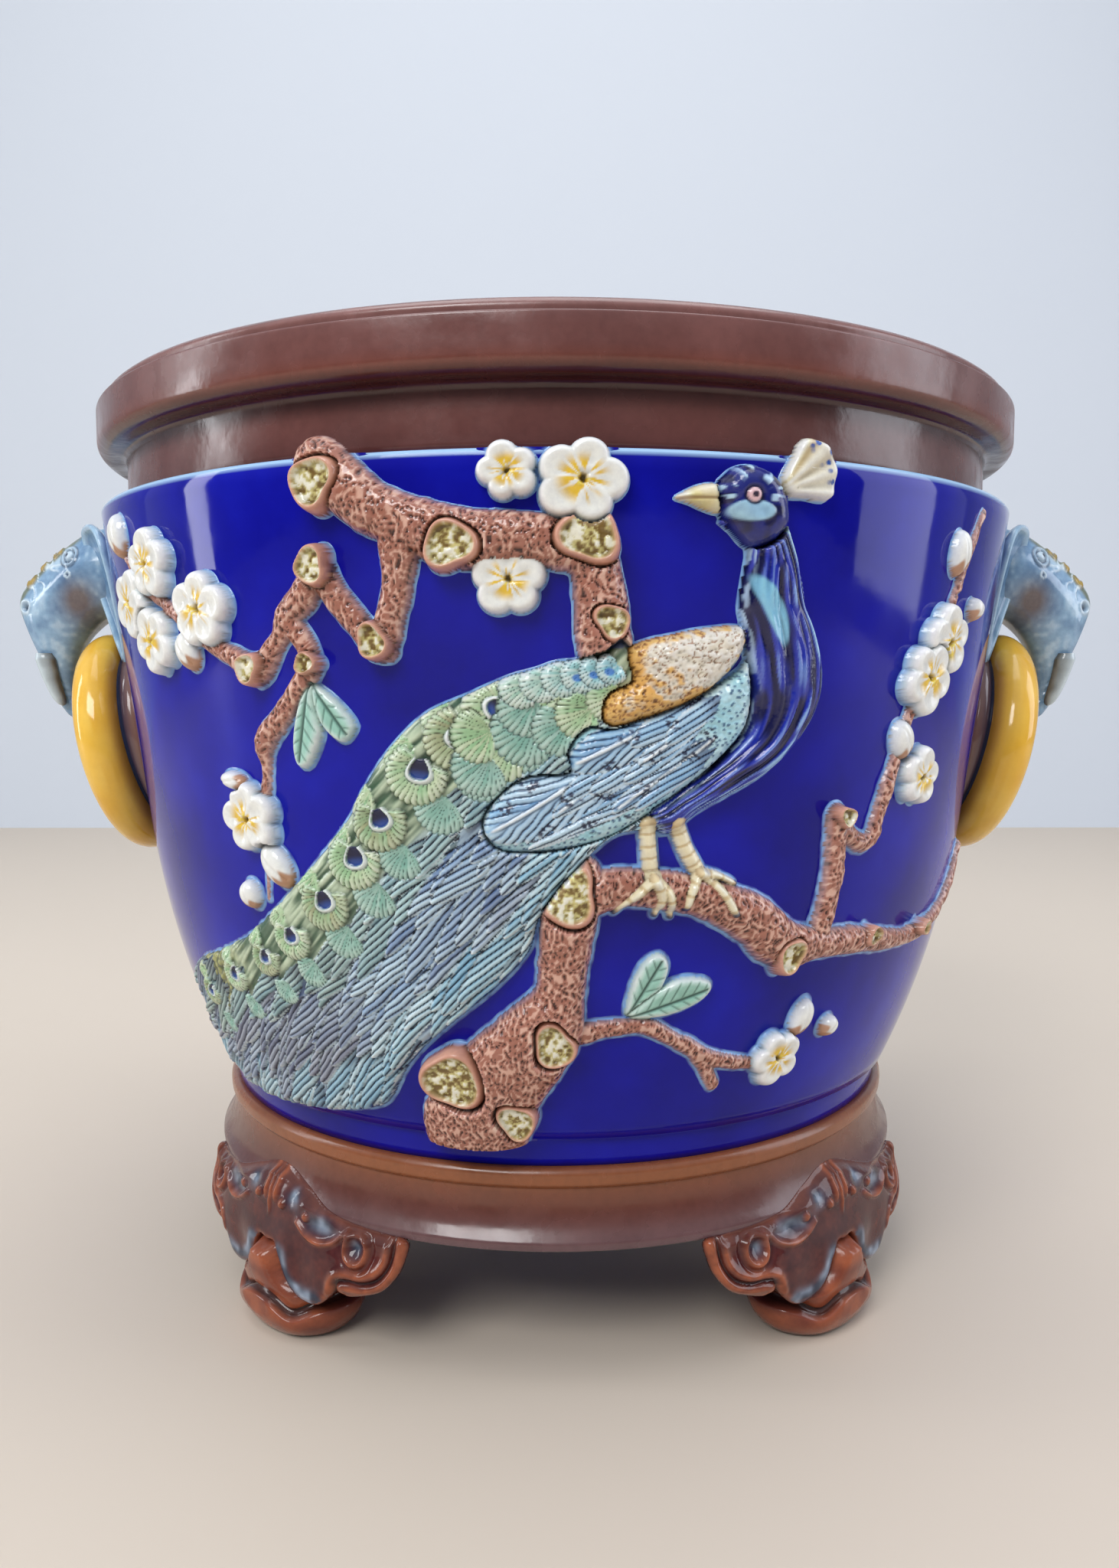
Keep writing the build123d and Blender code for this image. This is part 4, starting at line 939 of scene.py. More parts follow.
# head
HEAD_LINE = [(942, 632), (954, 616), (966, 607), (985, 603), (1005, 608), (1020, 619), (1032, 640),
             (1038, 668), (1034, 690), (1010, 712), (984, 714), (962, 692), (946, 668)]
BIRD_EYE = (985, 646)
w, x, z, d = outlined(on_panel(HEAD_LINE, 6), 1.5)
ex, ez = spot(BIRD_EYE, 8)
r, ang = np.hypot(x - ex, z - ez), np.arctan2(z - ez, x - ex)
dash = smoothstep(0.55, 0.8, noise(ang * 7.0, r / 3.0, 171)) * smoothstep(4.5, 6.0, r) * (z > ez - 1.5)
cheek = smoothstep(1.0, 0.8, np.hypot((x - ex) / 7.4, (z - ez + 4.6) / 3.4))
iris = smoothstep(2.3, 1.9, r)
rim = bell(r - 2.5, 0.5)
ball = iris * np.sqrt(np.clip(1 - (r / 2.4) ** 2, 0, 1))
h = dome(d, 8.6, 6.5, 2.0) + 0.35 * dash + 0.5 * cheek + ball - 0.6 * rim
col = layered(DEEP, (INK, smoothstep(0.4, 0.7, noise(x / 3, z / 3, 172))), ((0.42, 0.62, 0.84), dash * 0.9),
              ((0.34, 0.58, 0.76), cheek * (0.75 + 0.25 * noise(x / 1.5, z / 1.5, 173))), (INK, rim),
              ((0.70, 0.42, 0.44), iris), ((0.02, 0.01, 0.03), smoothstep(1.1, 0.8, r)))
lay("bird_head", w, d, h, col, over=True)

# beak, with the groove between its halves
BEAK_LINE = [(886, 648), (900, 638), (920, 630), (942, 629), (950, 645), (946, 668), (925, 664), (905, 655)]
BEAK_GROOVE = [(888, 648), (942, 650)]
w, x, z, d = outlined(on_panel(BEAK_LINE, 5), 1.0)
(ax, az), (bx, bz) = on_panel(BEAK_GROOVE, 5)
groove = bell(((x - ax) * (bz - az) - (z - az) * (bx - ax)) / math.hypot(bx - ax, bz - az), 0.35)
col = layered((0.66, 0.50, 0.18), ((0.78, 0.70, 0.50), noise(x / 3, z / 3, 181)),
              ((0.20, 0.10, 0.03), groove * 0.8))
off_head = np.where(LABEL[w] == ID["bird_head"], 9.0, d)
lay("bird_beak", w, off_head, dome(d, 5.4, 4.0) - 0.8 * groove, col, over=True)

# crest, whose ribs fan out from its foot
CREST_LINE = [(1030, 624), (1043, 596), (1052, 575), (1068, 568), (1090, 580), (1100, 606), (1098, 640),
              (1088, 653), (1062, 649), (1036, 646)]
CREST_FOOT = (1024, 640)
w, x, z, d = outlined(on_panel(CREST_LINE, 6), 1.0)
cx, cz = spot(CREST_FOOT, 6)
r, ang = np.hypot(x - cx, z - cz), np.arctan2(z - cz, x - cx)
rib = 0.5 + 0.5 * np.cos(ang * 15.0 + 0.6)
far = smoothstep(13, 19, r)
dots = smoothstep(0.30, 0.18, cells(ang * 5.2, r / 3.4, 191)[0]) * far
col = layered((0.78, 0.75, 0.62), ((0.50, 0.36, 0.14), (1 - rib) * 0.8 * smoothstep(0.1, 1.1, ang)),
              ((0.04, 0.10, 0.36), np.clip(dots * 1.2 + far * 0.15 * (1 - rib), 0, 1)))
off_head = np.where(LABEL[w] == ID["bird_head"], 9.0, d)
lay("bird_crest", w, off_head, dome(d, 5.4, 2.4) + 1.1 * (rib - 0.5) * smoothstep(3, 9, r), col, over=True)

# finish the field: soft feet, pale glaze break at edges, and hollows darkened and ridges lightened: glaze
# pooling plus painted shade and highlight
shape = LABEL > 0
HEIGHT = np.where(shape, 0.65 * HEIGHT + 0.35 * blur(np.where(shape, HEIGHT, 0), 1), HEIGHT)
apron = (~shape) & (REACH < 3.4) & (GZ <= WALL_TOP - 0.3)
foot = 0.55 * np.exp(-np.maximum(REACH, 0) / 0.9) - 0.16 - 0.25 * smoothstep(2.2, 3.4, REACH)
HEIGHT = np.where(apron, foot, HEIGHT)
break_edge = smoothstep(0.0, 1.5, REACH + 0.9 * (noise(GX / 2.4, GZ / 2.4, 7) - 0.5))
PAINT = np.where(apron[..., None], mix(BREAK, COBALT, break_edge), PAINT)
LABEL = np.where(apron, NEAR, LABEL)
level = np.where(LABEL > 0, np.maximum(HEIGHT, 0), 0)
near_mean = blur(level, 2)
# painted shade in hollows and a painted highlight on ridges, on top of the glaze's own pooling and thinning
pool_and_shade = np.clip((near_mean - level) * 0.7, 0, 0.62) * shape
ridge = np.clip((level - near_mean) * 0.9, 0, 1) * shape
wide_pool_and_shade = np.clip((blur(level, 6) - level) * 0.12, 0, 0.6) * shape
PAINT = mix(PAINT, PAINT * 0.16, np.clip(pool_and_shade + wide_pool_and_shade, 0, 0.92))
PAINT = mix(PAINT, np.clip(PAINT * 1.45 + 0.10, 0, 0.86), np.clip(ridge, 0, 0.75))


# materials
def add_node(tree, kind, **values):
    """A shader node with some of its inputs set; underscores stand for spaces in their names."""
    node = tree.nodes.new(kind)
    for key, value in values.items():
        node.inputs[key.replace("_", " ")].default_value = value
    return node


def ramp(nt, fac, stops):
    n = nt.nodes.new("ShaderNodeValToRGB")
    el = n.color_ramp.elements
    while len(el) < len(stops):
        el.new(0.5)
    for e, (pos, col) in zip(el, stops):
        e.position = pos
        e.color = (*col, 1)
    nt.links.new(fac, n.inputs["Fac"])
    return n.outputs["Color"]


def mixed(nt, a, b, fac, mode="MIX"):
    n = nt.nodes.new("ShaderNodeMix")
    n.data_type = "RGBA"
    n.blend_type = mode
    for sock, v in ((n.inputs[6], a), (n.inputs[7], b), (n.inputs[0], fac)):
        if hasattr(v, "is_output"):
            nt.links.new(v, sock)
        elif isinstance(v, (int, float)):
            sock.default_value = v
        else:
            sock.default_value = (*v, 1)
    return n.outputs[2]


def by_height(nt, low, high, stops):
    """A ramp of colours from one height to another, in millimetres."""
    split = nt.nodes.new("ShaderNodeSeparateXYZ")
    nt.links.new(nt.nodes.new("ShaderNodeTexCoord").outputs["Object"], split.inputs[0])
    share = add_node(nt, "ShaderNodeMapRange", From_Min=low * MM, From_Max=high * MM)
    nt.links.new(split.outputs["Z"], share.inputs["Value"])
    return ramp(nt, share.outputs["Result"], stops)


def material(name, build, rough=0.12, bump=0.05, bump_scale=260.0, level=0.5):
    """A glazed material: build(nt, tex) returns the socket of its colour."""
    m = bpy.data.materials.new(name)
    m.use_nodes = True
    nt = m.node_tree
    bsdf = nt.nodes["Principled BSDF"]
    place = nt.nodes.new("ShaderNodeTexCoord")

    def tex(scale, **more):
        n = add_node(nt, "ShaderNodeTexNoise", Scale=scale, **more)
        nt.links.new(place.outputs["Object"], n.inputs["Vector"])
        return n.outputs["Fac"]

    nt.links.new(build(nt, tex), bsdf.inputs["Base Color"])
    uneven = add_node(nt, "ShaderNodeBump", Strength=bump, Distance=0.001)
    nt.links.new(tex(bump_scale, Detail=3.0), uneven.inputs["Height"])
    nt.links.new(uneven.outputs["Normal"], bsdf.inputs["Normal"])
    worn = ramp(nt, tex(60.0, Detail=4.0), [(0.35, (rough * 0.7,) * 3), (0.7, (rough * 1.6,) * 3)])
    nt.links.new(worn, bsdf.inputs["Roughness"])
    bsdf.inputs["Specular IOR Level"].default_value = level
    return m


def painted(strength=0.35, dark=(0.72, 0.72, 0.78), scale=420.0):
    """The sprigs' hand-painted colours, with painted shade, shadow and highlight in places, and fine mottling
    of the glaze.
    """
    def build(nt, tex):
        a = nt.nodes.new("ShaderNodeAttribute")
        a.attribute_name = "paint"
        tone = ramp(nt, tex(scale, Detail=5.0, Roughness=0.65), [(0.36, dark), (0.62, (1.0, 1.0, 1.0))])
        return mixed(nt, a.outputs["Color"], tone, strength, "MULTIPLY")
    return build


def cobalt_colour(nt, tex):
    """Deep blue that pales where the glaze runs thin at the wall's upper edge."""
    base = ramp(nt, tex(22.0, Detail=5.0), [(0.3, (0.003, 0.003, 0.20)), (0.55, (0.004, 0.005, 0.31)),
                                            (0.8, (0.006, 0.011, 0.44))])
    stops = [(0.0, (0, 0, 0)), (0.55, (1, 1, 1)), (0.8, (1, 1, 1)), (0.95, (0.1, 0.1, 0.1))]
    edge = by_height(nt, WALL_TOP - 2.7, WALL_TOP + 0.1, stops)
    return mixed(nt, base, (0.36, 0.56, 0.80), edge)


def banded(low, high, stops):
    """Soft mottling over bands of colour that follow the height: slip colour, with some painted shade and
    sheen.
    """
    def build(nt, tex):
        tones = [(0.15, (0.75, 0.72, 0.72)), (0.5, (1.0, 1.0, 1.0)), (0.85, (1.25, 1.2, 1.2))]
        big = ramp(nt, tex(30.0, Detail=6.0, Roughness=0.6), tones)
        fine = ramp(nt, tex(360.0, Detail=3.0), [(0.3, (0.8, 0.8, 0.8)), (0.6, (1, 1, 1))])
        mottle = mixed(nt, big, fine, 0.5, "MULTIPLY")
        return mixed(nt, by_height(nt, low, high, stops), mottle, 1.0, "MULTIPLY")
    return build


# rim colour by height: red-brown, with painted shade in the hollow under the band's overhang, and a lighter top
# face that is partly worn paler glaze and partly painted sheen
RIM_BANDS = [(0.0, (0.12, 0.038, 0.031)), (0.30, (0.14, 0.048, 0.040)), (0.43, (0.055, 0.014, 0.012)),
             (0.50, (0.075, 0.020, 0.015)), (0.56, (0.16, 0.048, 0.034)), (0.66, (0.145, 0.052, 0.045)),
             (0.84, (0.155, 0.062, 0.056)), (0.93, (0.21, 0.095, 0.085)), (1.0, (0.16, 0.062, 0.052))]
# base ring colour by height: mauve-grey at the bottom lip, partly painted sheen, then brown, and orange-brown
# on the upper bead
FOOT_BANDS = [(0.0, (0.13, 0.075, 0.085)), (0.14, (0.115, 0.050, 0.048)), (0.42, (0.115, 0.036, 0.026)),
              (0.66, (0.17, 0.052, 0.025)), (0.80, (0.26, 0.085, 0.030)), (1.0, (0.22, 0.07, 0.028))]
BASE_LOW, BASE_HIGH = 51.0, 80.0
blue = material("glaze_cobalt", cobalt_colour, rough=0.06, bump=0.06, bump_scale=45.0, level=0.22)
brown = material("slip_brown_painted_shade_and_sheen", banded(WALL_TOP, RIM_TOP, RIM_BANDS), rough=0.22, bump=0.12, bump_scale=160.0)
base_brown = material("slip_base_and_painted_sheen", banded(BASE_LOW, BASE_HIGH, FOOT_BANDS), rough=0.22, bump=0.10,
                      bump_scale=160.0)
pad_mat = material("glaze_pad", painted(0.45), rough=0.14, bump=0.10, level=0.35)
bracket_mat = material("glaze_bracket", painted(0.45), rough=0.10, bump=0.12, level=0.35)
elephant_mat = material("glaze_elephant", painted(0.5), rough=0.12, bump=0.10)
tusk_mat = material("glaze_tusk", painted(0.3), rough=0.12)
yellow = material("glaze_yellow", painted(0.25, (0.80, 0.72, 0.60), 120.0), rough=0.10, bump=0.06)
relief_mats = {n: material("glaze_" + n, painted(), rough=0.12, bump=0.14, bump_scale=500.0) for n in SLOTS}

# the sprigs as meshes, each on the front and again on the back
theta, radius = GX.ravel() / PANEL, (wall(GZ) + HEIGHT).ravel()
heights, stand, owners = GZ.ravel(), HEIGHT.ravel(), LABEL.ravel()
points = np.stack([radius * np.sin(theta), -radius * np.cos(theta), heights], -1)
quads = grid_faces(*GX.shape)
labels = owners[quads]
whole = (labels > 0).all(1) & (stand[quads].max(1) > -0.35)
for name, slot in SLOTS.items():
    used, local = np.unique(quads[whole & (labels.max(1) == ID[name])], return_inverse=True)
    verts, faces, paint = points[used], local.reshape(-1, 4), PAINT.reshape(-1, 3)[used]
    uv = np.stack([(GX.ravel()[used] - X0) / (X1 - X0), (heights[used] - Z0) / (Z1 - Z0)], 1)
    if name == "bird_crest":
        out = np.stack([np.sin(theta[used]), -np.cos(theta[used]), 0 * heights[used]], 1)
        free = np.maximum(stand[used] - 0.4, 0) * (heights[used] > WALL_TOP - 4)
        verts, faces = closed_sheet(verts, verts - out * free[:, None], faces)
        paint, uv = np.concatenate([paint, paint]), np.concatenate([uv, uv])
    for face, turn in (("front", 0.0), ("back", math.pi)):
        new_object(name + "_relief_" + face, verts, faces, relief_mats[name], [name + "_" + face],
                   paint=paint, uv=uv, turn=turn)

# pot, rim and base ring as (radius, height) profiles
BORE, POT_FLOOR, WALL_THICK = 185.2, 94, 14.0
outer = [(float(wall(h)), h) for h in np.linspace(WALL_FOOT, WAIST, 24)[1:]]
outer += [(R_TOP, WALL_TOP - 1.6), (R_TOP - 0.7, WALL_TOP - 0.4), (R_TOP - 2.2, WALL_TOP), (BORE, WALL_TOP)]
inner = [(float(wall(h)) - WALL_THICK, h) for h in np.linspace(WAIST, 108, 16)]
inner += [(float(wall(106)) - 15.0, 104), (139, 99), (134, 95.2), (128, 94.1)]
inner += [(60, POT_FLOOR), (0.02, POT_FLOOR)]
under = [(0.02, BASE_HIGH), (149, BASE_HIGH), (151, 90.0), (151.0, 91.3), (R_FOOT, WALL_FOOT)]
spun("pot_wall", under + outer + inner, blue, "pot_body", segments=360, step=5.0,
     close=False)

RIM_PROFILE = [(BORE, WALL_TOP), (188.5, WALL_TOP), (188.5, 346), (196.5, 345.9), (200, 349), (200, 363.6),
               (196.9, 364.0), (197.2, 366.6), (194.5, 368.9), (190, RIM_TOP), (184.5, 368.6), (180, 364),
               (BORE, WALL_TOP)]
RIM_CORNERS = [0, 0, 3.0, 2.5, 2.2, 0.8, 0.5, 1.2, 2.0, 3.0, 3.5, 3.0, 0]
spun("rim_turned", rounded(RIM_PROFILE, RIM_CORNERS), brown, "rim_collar", segments=360,
     step=4.0)

BASE_BORE = 114
BASE_PROFILE = [(BASE_BORE, BASE_LOW), (156.3, BASE_LOW), (156.5, 54), (153.2, 58.5), (151.2, 64.5),
                (150.1, 72.0), (152.3, 73.6), (152.5, 78.0), (150.8, BASE_HIGH), (BASE_BORE, BASE_HIGH),
                (BASE_BORE, BASE_LOW)]
BASE_CORNERS = [0, 1.2, 1.0, 3, 4, 0.6, 1.6, 1.8, 1.0, 0, 0]
spun("base_turned", rounded(BASE_PROFILE, BASE_CORNERS), base_brown, "base_ring",
     segments=288, step=4.0)

# handles: elephant heads, ears, tusks and rings
# a head's sections: X and Z of a point on its back, X and Z of one under it, and the half width
HEAD_SECTIONS = [(196, 325.5, 196, 287, 20.0), (207, 326.0, 204, 285.6, 20.3),
                 (217, 324.4, 210.5, 283.6, 20.0), (225.5, 319.6, 214.6, 281.2, 19.0),
                 (234, 313.0, 218, 278.2, 17.2), (241.6, 306.2, 221, 274.8, 15.0),
                 (247.8, 299.6, 223.4, 271.2, 13.2), (251.2, 295.0, 224.8, 268.4, 12.2),
                 (252.3, 291.6, 225.7, 266.2, 11.4), (252.0, 287.6, 226.4, 263.6, 10.6),
                 (250.0, 281.5, 227.1, 260.8, 9.8), (247.2, 274.5, 227.7, 257.8, 8.8),
                 (243.6, 266.5, 228.0, 254.4, 7.8), (240, 257.5, 227.6, 250.6, 6.9),
                 (237, 248.8, 226.3, 246.4, 6.2), (233.4, 241.2, 223.9, 243.0, 5.5),
                 (228.0, 236.5, 220.2, 241.2, 5.0), (220, 235.0, 217, 241.2, 4.7),
                 (212, 236.4, 214.2, 242.4, 4.5), (207.2, 240.0, 211.4, 244.4, 4.0),
                 (206.6, 244.6, 209.2, 246, 2.6)]
HEAD_RING = 160                           # points round each section
EYE_PLACE, DOT_PLACE, NOSTRIL_PLACE = (223.5, 311.5), (223.0, 303.0), (247.2, 289.0)
BROW_PATCHES = [(231.5, 313.5, 4.2), (238.6, 307.3, 3.2), (244.8, 300.8, 4.4)]
SLATE, ICE, FROST, SOOT = (0.07, 0.17, 0.33), (0.34, 0.52, 0.68), (0.62, 0.74, 0.80), (0.012, 0.02, 0.05)


def elephant(side, turn):
    """The head as a tube of changing section from the wall to the curled tip of the trunk."""
    line = curve_points(HEAD_SECTIONS, 0.6)
    ang = np.linspace(0, 2 * math.pi, HEAD_RING, endpoint=False)[None, :]
    back, under, wide = line[:, None, 0:2], line[:, None, 2:4], line[:, 4][:, None]
    t = np.linspace(0, 1, len(line))[:, None]
    cs, sn = np.cos(ang), np.sin(ang)
    narrow = 1 - 0.34 * smoothstep(0.62, 0.40, t) * smoothstep(0.1, 1.0, sn)
    y = wide * (np.sign(cs) * np.abs(cs) ** 0.72) * narrow
    place = (back + under) / 2 + (back - under) / 2 * (np.sign(sn) * np.abs(sn) ** 0.9)[..., None]
    x, z = place[..., 0], place[..., 1]
    high = (back - under) / np.linalg.norm(back - under, axis=-1, keepdims=True)

    def reach(middle):
        return np.hypot(x - middle[0], z - middle[1])

    beside = smoothstep(0.2, 0.5, np.abs(cs))
    eye, dot, nostril = reach(EYE_PLACE), reach(DOT_PLACE), reach(NOSTRIL_PLACE)
    ball = np.sqrt(np.clip(1 - (eye / 2.5) ** 2, 0, 1))
    lid, socket, small_ring = bell(eye - 3.9, 0.8), bell(eye - 2.9, 0.45), bell(dot - 1.4, 0.4)
    pit, pit_rim = bell(nostril, 1.7), bell(nostril - 2.9, 0.8)
    patch = np.zeros(x.shape)
    for px, pz, radius in BROW_PATCHES:
        along, across = (x - px - z + pz) * 0.7071, (x - px + z - pz) * 0.7071
        wobble = 0.25 * noise(x / 1.8, z / 1.8, 303)
        spread = np.hypot(along / radius, across / (radius * 0.62)) + wobble
        patch = np.maximum(patch, smoothstep(1.1, 0.8, spread))
    patch = patch * smoothstep(0.05, 0.25, sn)
    ridge = smoothstep(0.72, 0.9, sn) * smoothstep(0.12, 0.2, t) * smoothstep(0.52, 0.44, t)
    curl = np.abs(noise(x / 4.2, z / 4.2, 304) - 0.5)
    scroll = smoothstep(0.07, 0.02, curl) * smoothstep(0.35, 0.6, sn)
    scroll = scroll * smoothstep(0.2, 0.26, t) * smoothstep(0.45, 0.38, t)
    # painted shade: a brown patch on the lower cheek where the head shades itself, with a shallow dip
    chin_shade = np.exp(-((x - 219) / 8.5) ** 2 - ((z - 291) / 9.5) ** 2)
    out = beside * (1.7 * ball + 1.0 * lid - 0.8 * socket)
    out = out + beside * (0.4 * small_ring - 0.5 * bell(dot, 0.6))
    out = out + beside * (0.6 * pit_rim - 1.8 * pit) + 0.9 * patch + 0.5 * scroll - 1.0 * chin_shade * beside
    out = out + 0.22 * np.sin(t * 150) * smoothstep(0.6, 0.7, t) * np.abs(cs)
    shade = noise(x / 7.0, z / 7.0, 301) * 0.6 + noise(x / 2.0, z / 2.0, 302) * 0.4
    dark = np.clip(socket + bell(eye - 5.0, 0.5) * 0.8 + bell(dot, 0.7) + 1.1 * pit, 0, 1)
    pale = np.clip(ball * 0.9 + lid * 0.35 + small_ring + 0.8 * pit_rim, 0, 1)
    pupil = smoothstep(1.1, 0.7, np.hypot(x - EYE_PLACE[0] - 0.8, z - EYE_PLACE[1]))
    paint = layered(
        SLATE, (ICE, np.clip(0.30 + 0.9 * (shade - 0.35) + 0.3 * smoothstep(215, 240, x), 0, 1)),
        (FROST, smoothstep(0.55, 0.85, shade) * 0.35), ((0.15, 0.105, 0.09), np.clip(chin_shade * 1.1, 0, 0.92)),
        ((0.14, 0.15, 0.06), np.clip(ridge, 0, 0.85)), (FROST, np.clip(scroll, 0, 0.85)),
        (mix((0.46, 0.30, 0.05), (0.16, 0.14, 0.05), noise(x / 1.6, z / 1.6, 305)), patch),
        (SOOT, dark * beside * 0.9), (FROST, pale * beside * 0.9), (SOOT, pupil * beside))
    x = np.minimum(x + out * high[..., 0] * sn, float(cad_box[1][0]) / MM - 0.25)
    verts = np.stack([x, y + out * cs, z + out * high[..., 1] * sn], -1).reshape(-1, 3)
    faces = grid_faces(len(line), HEAD_RING, wrap_cols=True)
    new_object("elephant_head_form_" + side, verts, faces, elephant_mat,
               ["elephant_head_" + side], paint=paint.reshape(-1, 3), turn=turn)


def joined(name, parts, mat, node, turn):
    """Several forms, each as vertices, faces and colours, made into one piece."""
    starts = np.cumsum([0] + [len(v) for v, _, _ in parts])
    verts, paint = np.concatenate([v for v, _, _ in parts]), np.concatenate([c for _, _, c in parts])
    faces = np.concatenate([f + start for (_, f, _), start in zip(parts, starts)])
    return new_object(name, verts, faces, mat, [node], paint=paint, turn=turn)


EAR_WIDTH, EAR_LENGTH, EAR_TURN, EAR_SET_IN = 38.0, 64.0, math.radians(30), 14.0
EAR_SHARES = [(0.0, 0.05), (0.3, 0.0), (0.7, 0.03), (0.94, 0.14), (1.0, 0.36), (0.92, 0.62),
              (0.8, 0.84), (0.64, 1.0), (0.46, 0.88), (0.3, 0.66), (0.12, 0.46), (0.0, 0.36)]
# an ear's section from its middle round the rolled edge to the back: share of the outline, and depth
EAR_SECTION = [(0.05, -3.1), (0.45, -2.9), (0.72, -2.5), (0.84, -1.9), (0.91, -0.4), (0.96, 0.35),
               (1.0, -0.3), (1.0, -1.8), (0.95, -3.4), (0.85, -4.9), (0.7, -5.9), (0.4, -6.4), (0.05, -6.6)]
EAR_TONES = [0.32, 0.40, 0.42, 0.35, 1.1, 1.7, 1.5, 0.9, 0.6, 0.5, 0.5, 0.5, 0.5]


def ears(side, turn):
    """Two leaf-shaped ears with a rolled edge, one the mirror of the other."""
    facing = np.array([math.cos(EAR_TURN) * EAR_LENGTH, math.sin(EAR_TURN) * EAR_LENGTH, -EAR_SET_IN])
    facing /= np.linalg.norm(facing)
    across = np.array([-math.sin(EAR_TURN), math.cos(EAR_TURN), 0])
    across -= facing * across.dot(facing)
    across /= np.linalg.norm(across)
    upward = np.cross(facing, across)
    root = np.array([R_TOP + 19.0, 14.0, WALL_TOP])
    outline = curve_points([(x * EAR_WIDTH, -y * EAR_LENGTH) for x, y in EAR_SHARES], 1.0, closed=True)
    centre = outline.mean(0)
    rings, tones = [], []
    for (share, depth), tone in zip(EAR_SECTION, EAR_TONES):
        q = centre + (outline - centre) * share
        rings.append(root + q[:, :1] * across + q[:, 1:] * upward + depth * facing)
        mottle = 0.4 + 1.2 * noise(q[:, 0] / 3.2, q[:, 1] / 5.0, 310)
        tones.append(mix(SLATE, ICE, np.clip(tone * mottle - 0.1, 0, 1.1)))
    verts, paint = np.concatenate(rings), np.concatenate(tones)
    faces = grid_faces(len(rings), len(outline), wrap_cols=True)
    made = [(verts, faces, paint), (verts * (1, -1, 1), faces[:, ::-1], paint)]
    joined("elephant_ears_form_" + side, made, elephant_mat, "elephant_ears_" + side, turn)


TUSK_RINGS, TUSK_RING = 36, 32


def tusks(side, turn):
    """A pair of short blunt tusks along the trunk's sides."""
    v = np.linspace(0, 2 * math.pi, TUSK_RING, endpoint=False)
    made = []
    for way in (-1, 1):
        rings, tones = [], []
        for s in np.linspace(0, 1, TUSK_RINGS):
            blunt = math.sqrt(max(1 - s ** 12, 0.002))
            radius = (4.9 - 2.0 * s) * blunt * (0.75 + 0.25 * smoothstep(0, 0.12, s))
            bow = 0.8 * math.sin(s * math.pi)
            c = np.array([238.6 - 7.4 * s + bow, way * (9.6 - 1.4 * s), 267.5 - 24.5 * s])
            rings.append(c + np.stack([radius * np.cos(v), 0.8 * radius * np.sin(v), 0 * v], 1))
            # painted shading: pale on the side away from the wall, painted shade on the side towards it
            light = np.clip(0.62 + 0.6 * np.cos(v) + 0.3 * (noise(v * 1.5, v * 0 + s * 6, 312) - 0.5), 0, 1)
            tones.append(mix((0.10, 0.10, 0.09), (0.56, 0.66, 0.70), light))
        faces = grid_faces(TUSK_RINGS, TUSK_RING, wrap_cols=True)
        made.append((np.concatenate(rings), faces, np.concatenate(tones)))
    joined("elephant_tusks_form_" + side, made, tusk_mat, "elephant_tusks_" + side, turn)


RING_MEAN, RING_TUBE, RING_LEAN = 41.0, 10.5, math.radians(12)
RING_Z = WALL_TOP - 98.0
RING_LOW = RING_Z - RING_MEAN * math.cos(RING_LEAN)
RING_R = float(wall(RING_LOW)) + RING_TUBE - 0.6 + RING_MEAN * math.sin(RING_LEAN)
# the collar's section behind the tube: radial offset, and depth unless the wall is nearer
COLLAR = [(-2.8, 9.4), (-2.8, 11.6), (-4.6, 12.6), (-5.0, 30.0), (5.0, 30.0), (4.6, 12.6), (2.8, 11.6),
          (2.8, 9.4)]
# the collar is painted dark where the ring's shadow falls beside the tube, and brown where the ring's
# reflection in the wall glaze shows: painted shadow and painted reflection
COLLAR_SHADOW, RING_REFLECTION_BROWN = (0.04, 0.03, 0.06), (0.34, 0.17, 0.10)
COLLAR_SHADOW_AND_REFLECTION = [SOOT, SOOT, COLLAR_SHADOW, RING_REFLECTION_BROWN, RING_REFLECTION_BROWN, COLLAR_SHADOW, SOOT, SOOT]
RING_AROUND, RING_SECTION = 160, 48


def ring_place(x, y, h):
    """From the ring's own frame (x along its axis, outwards) to the pot's frame."""
    px = RING_R + x * math.cos(RING_LEAN) + h * math.sin(RING_LEAN)
    pz = RING_Z + h * math.cos(RING_LEAN) - x * math.sin(RING_LEAN)
    return np.stack(np.broadcast_arrays(px, y, pz), -1)


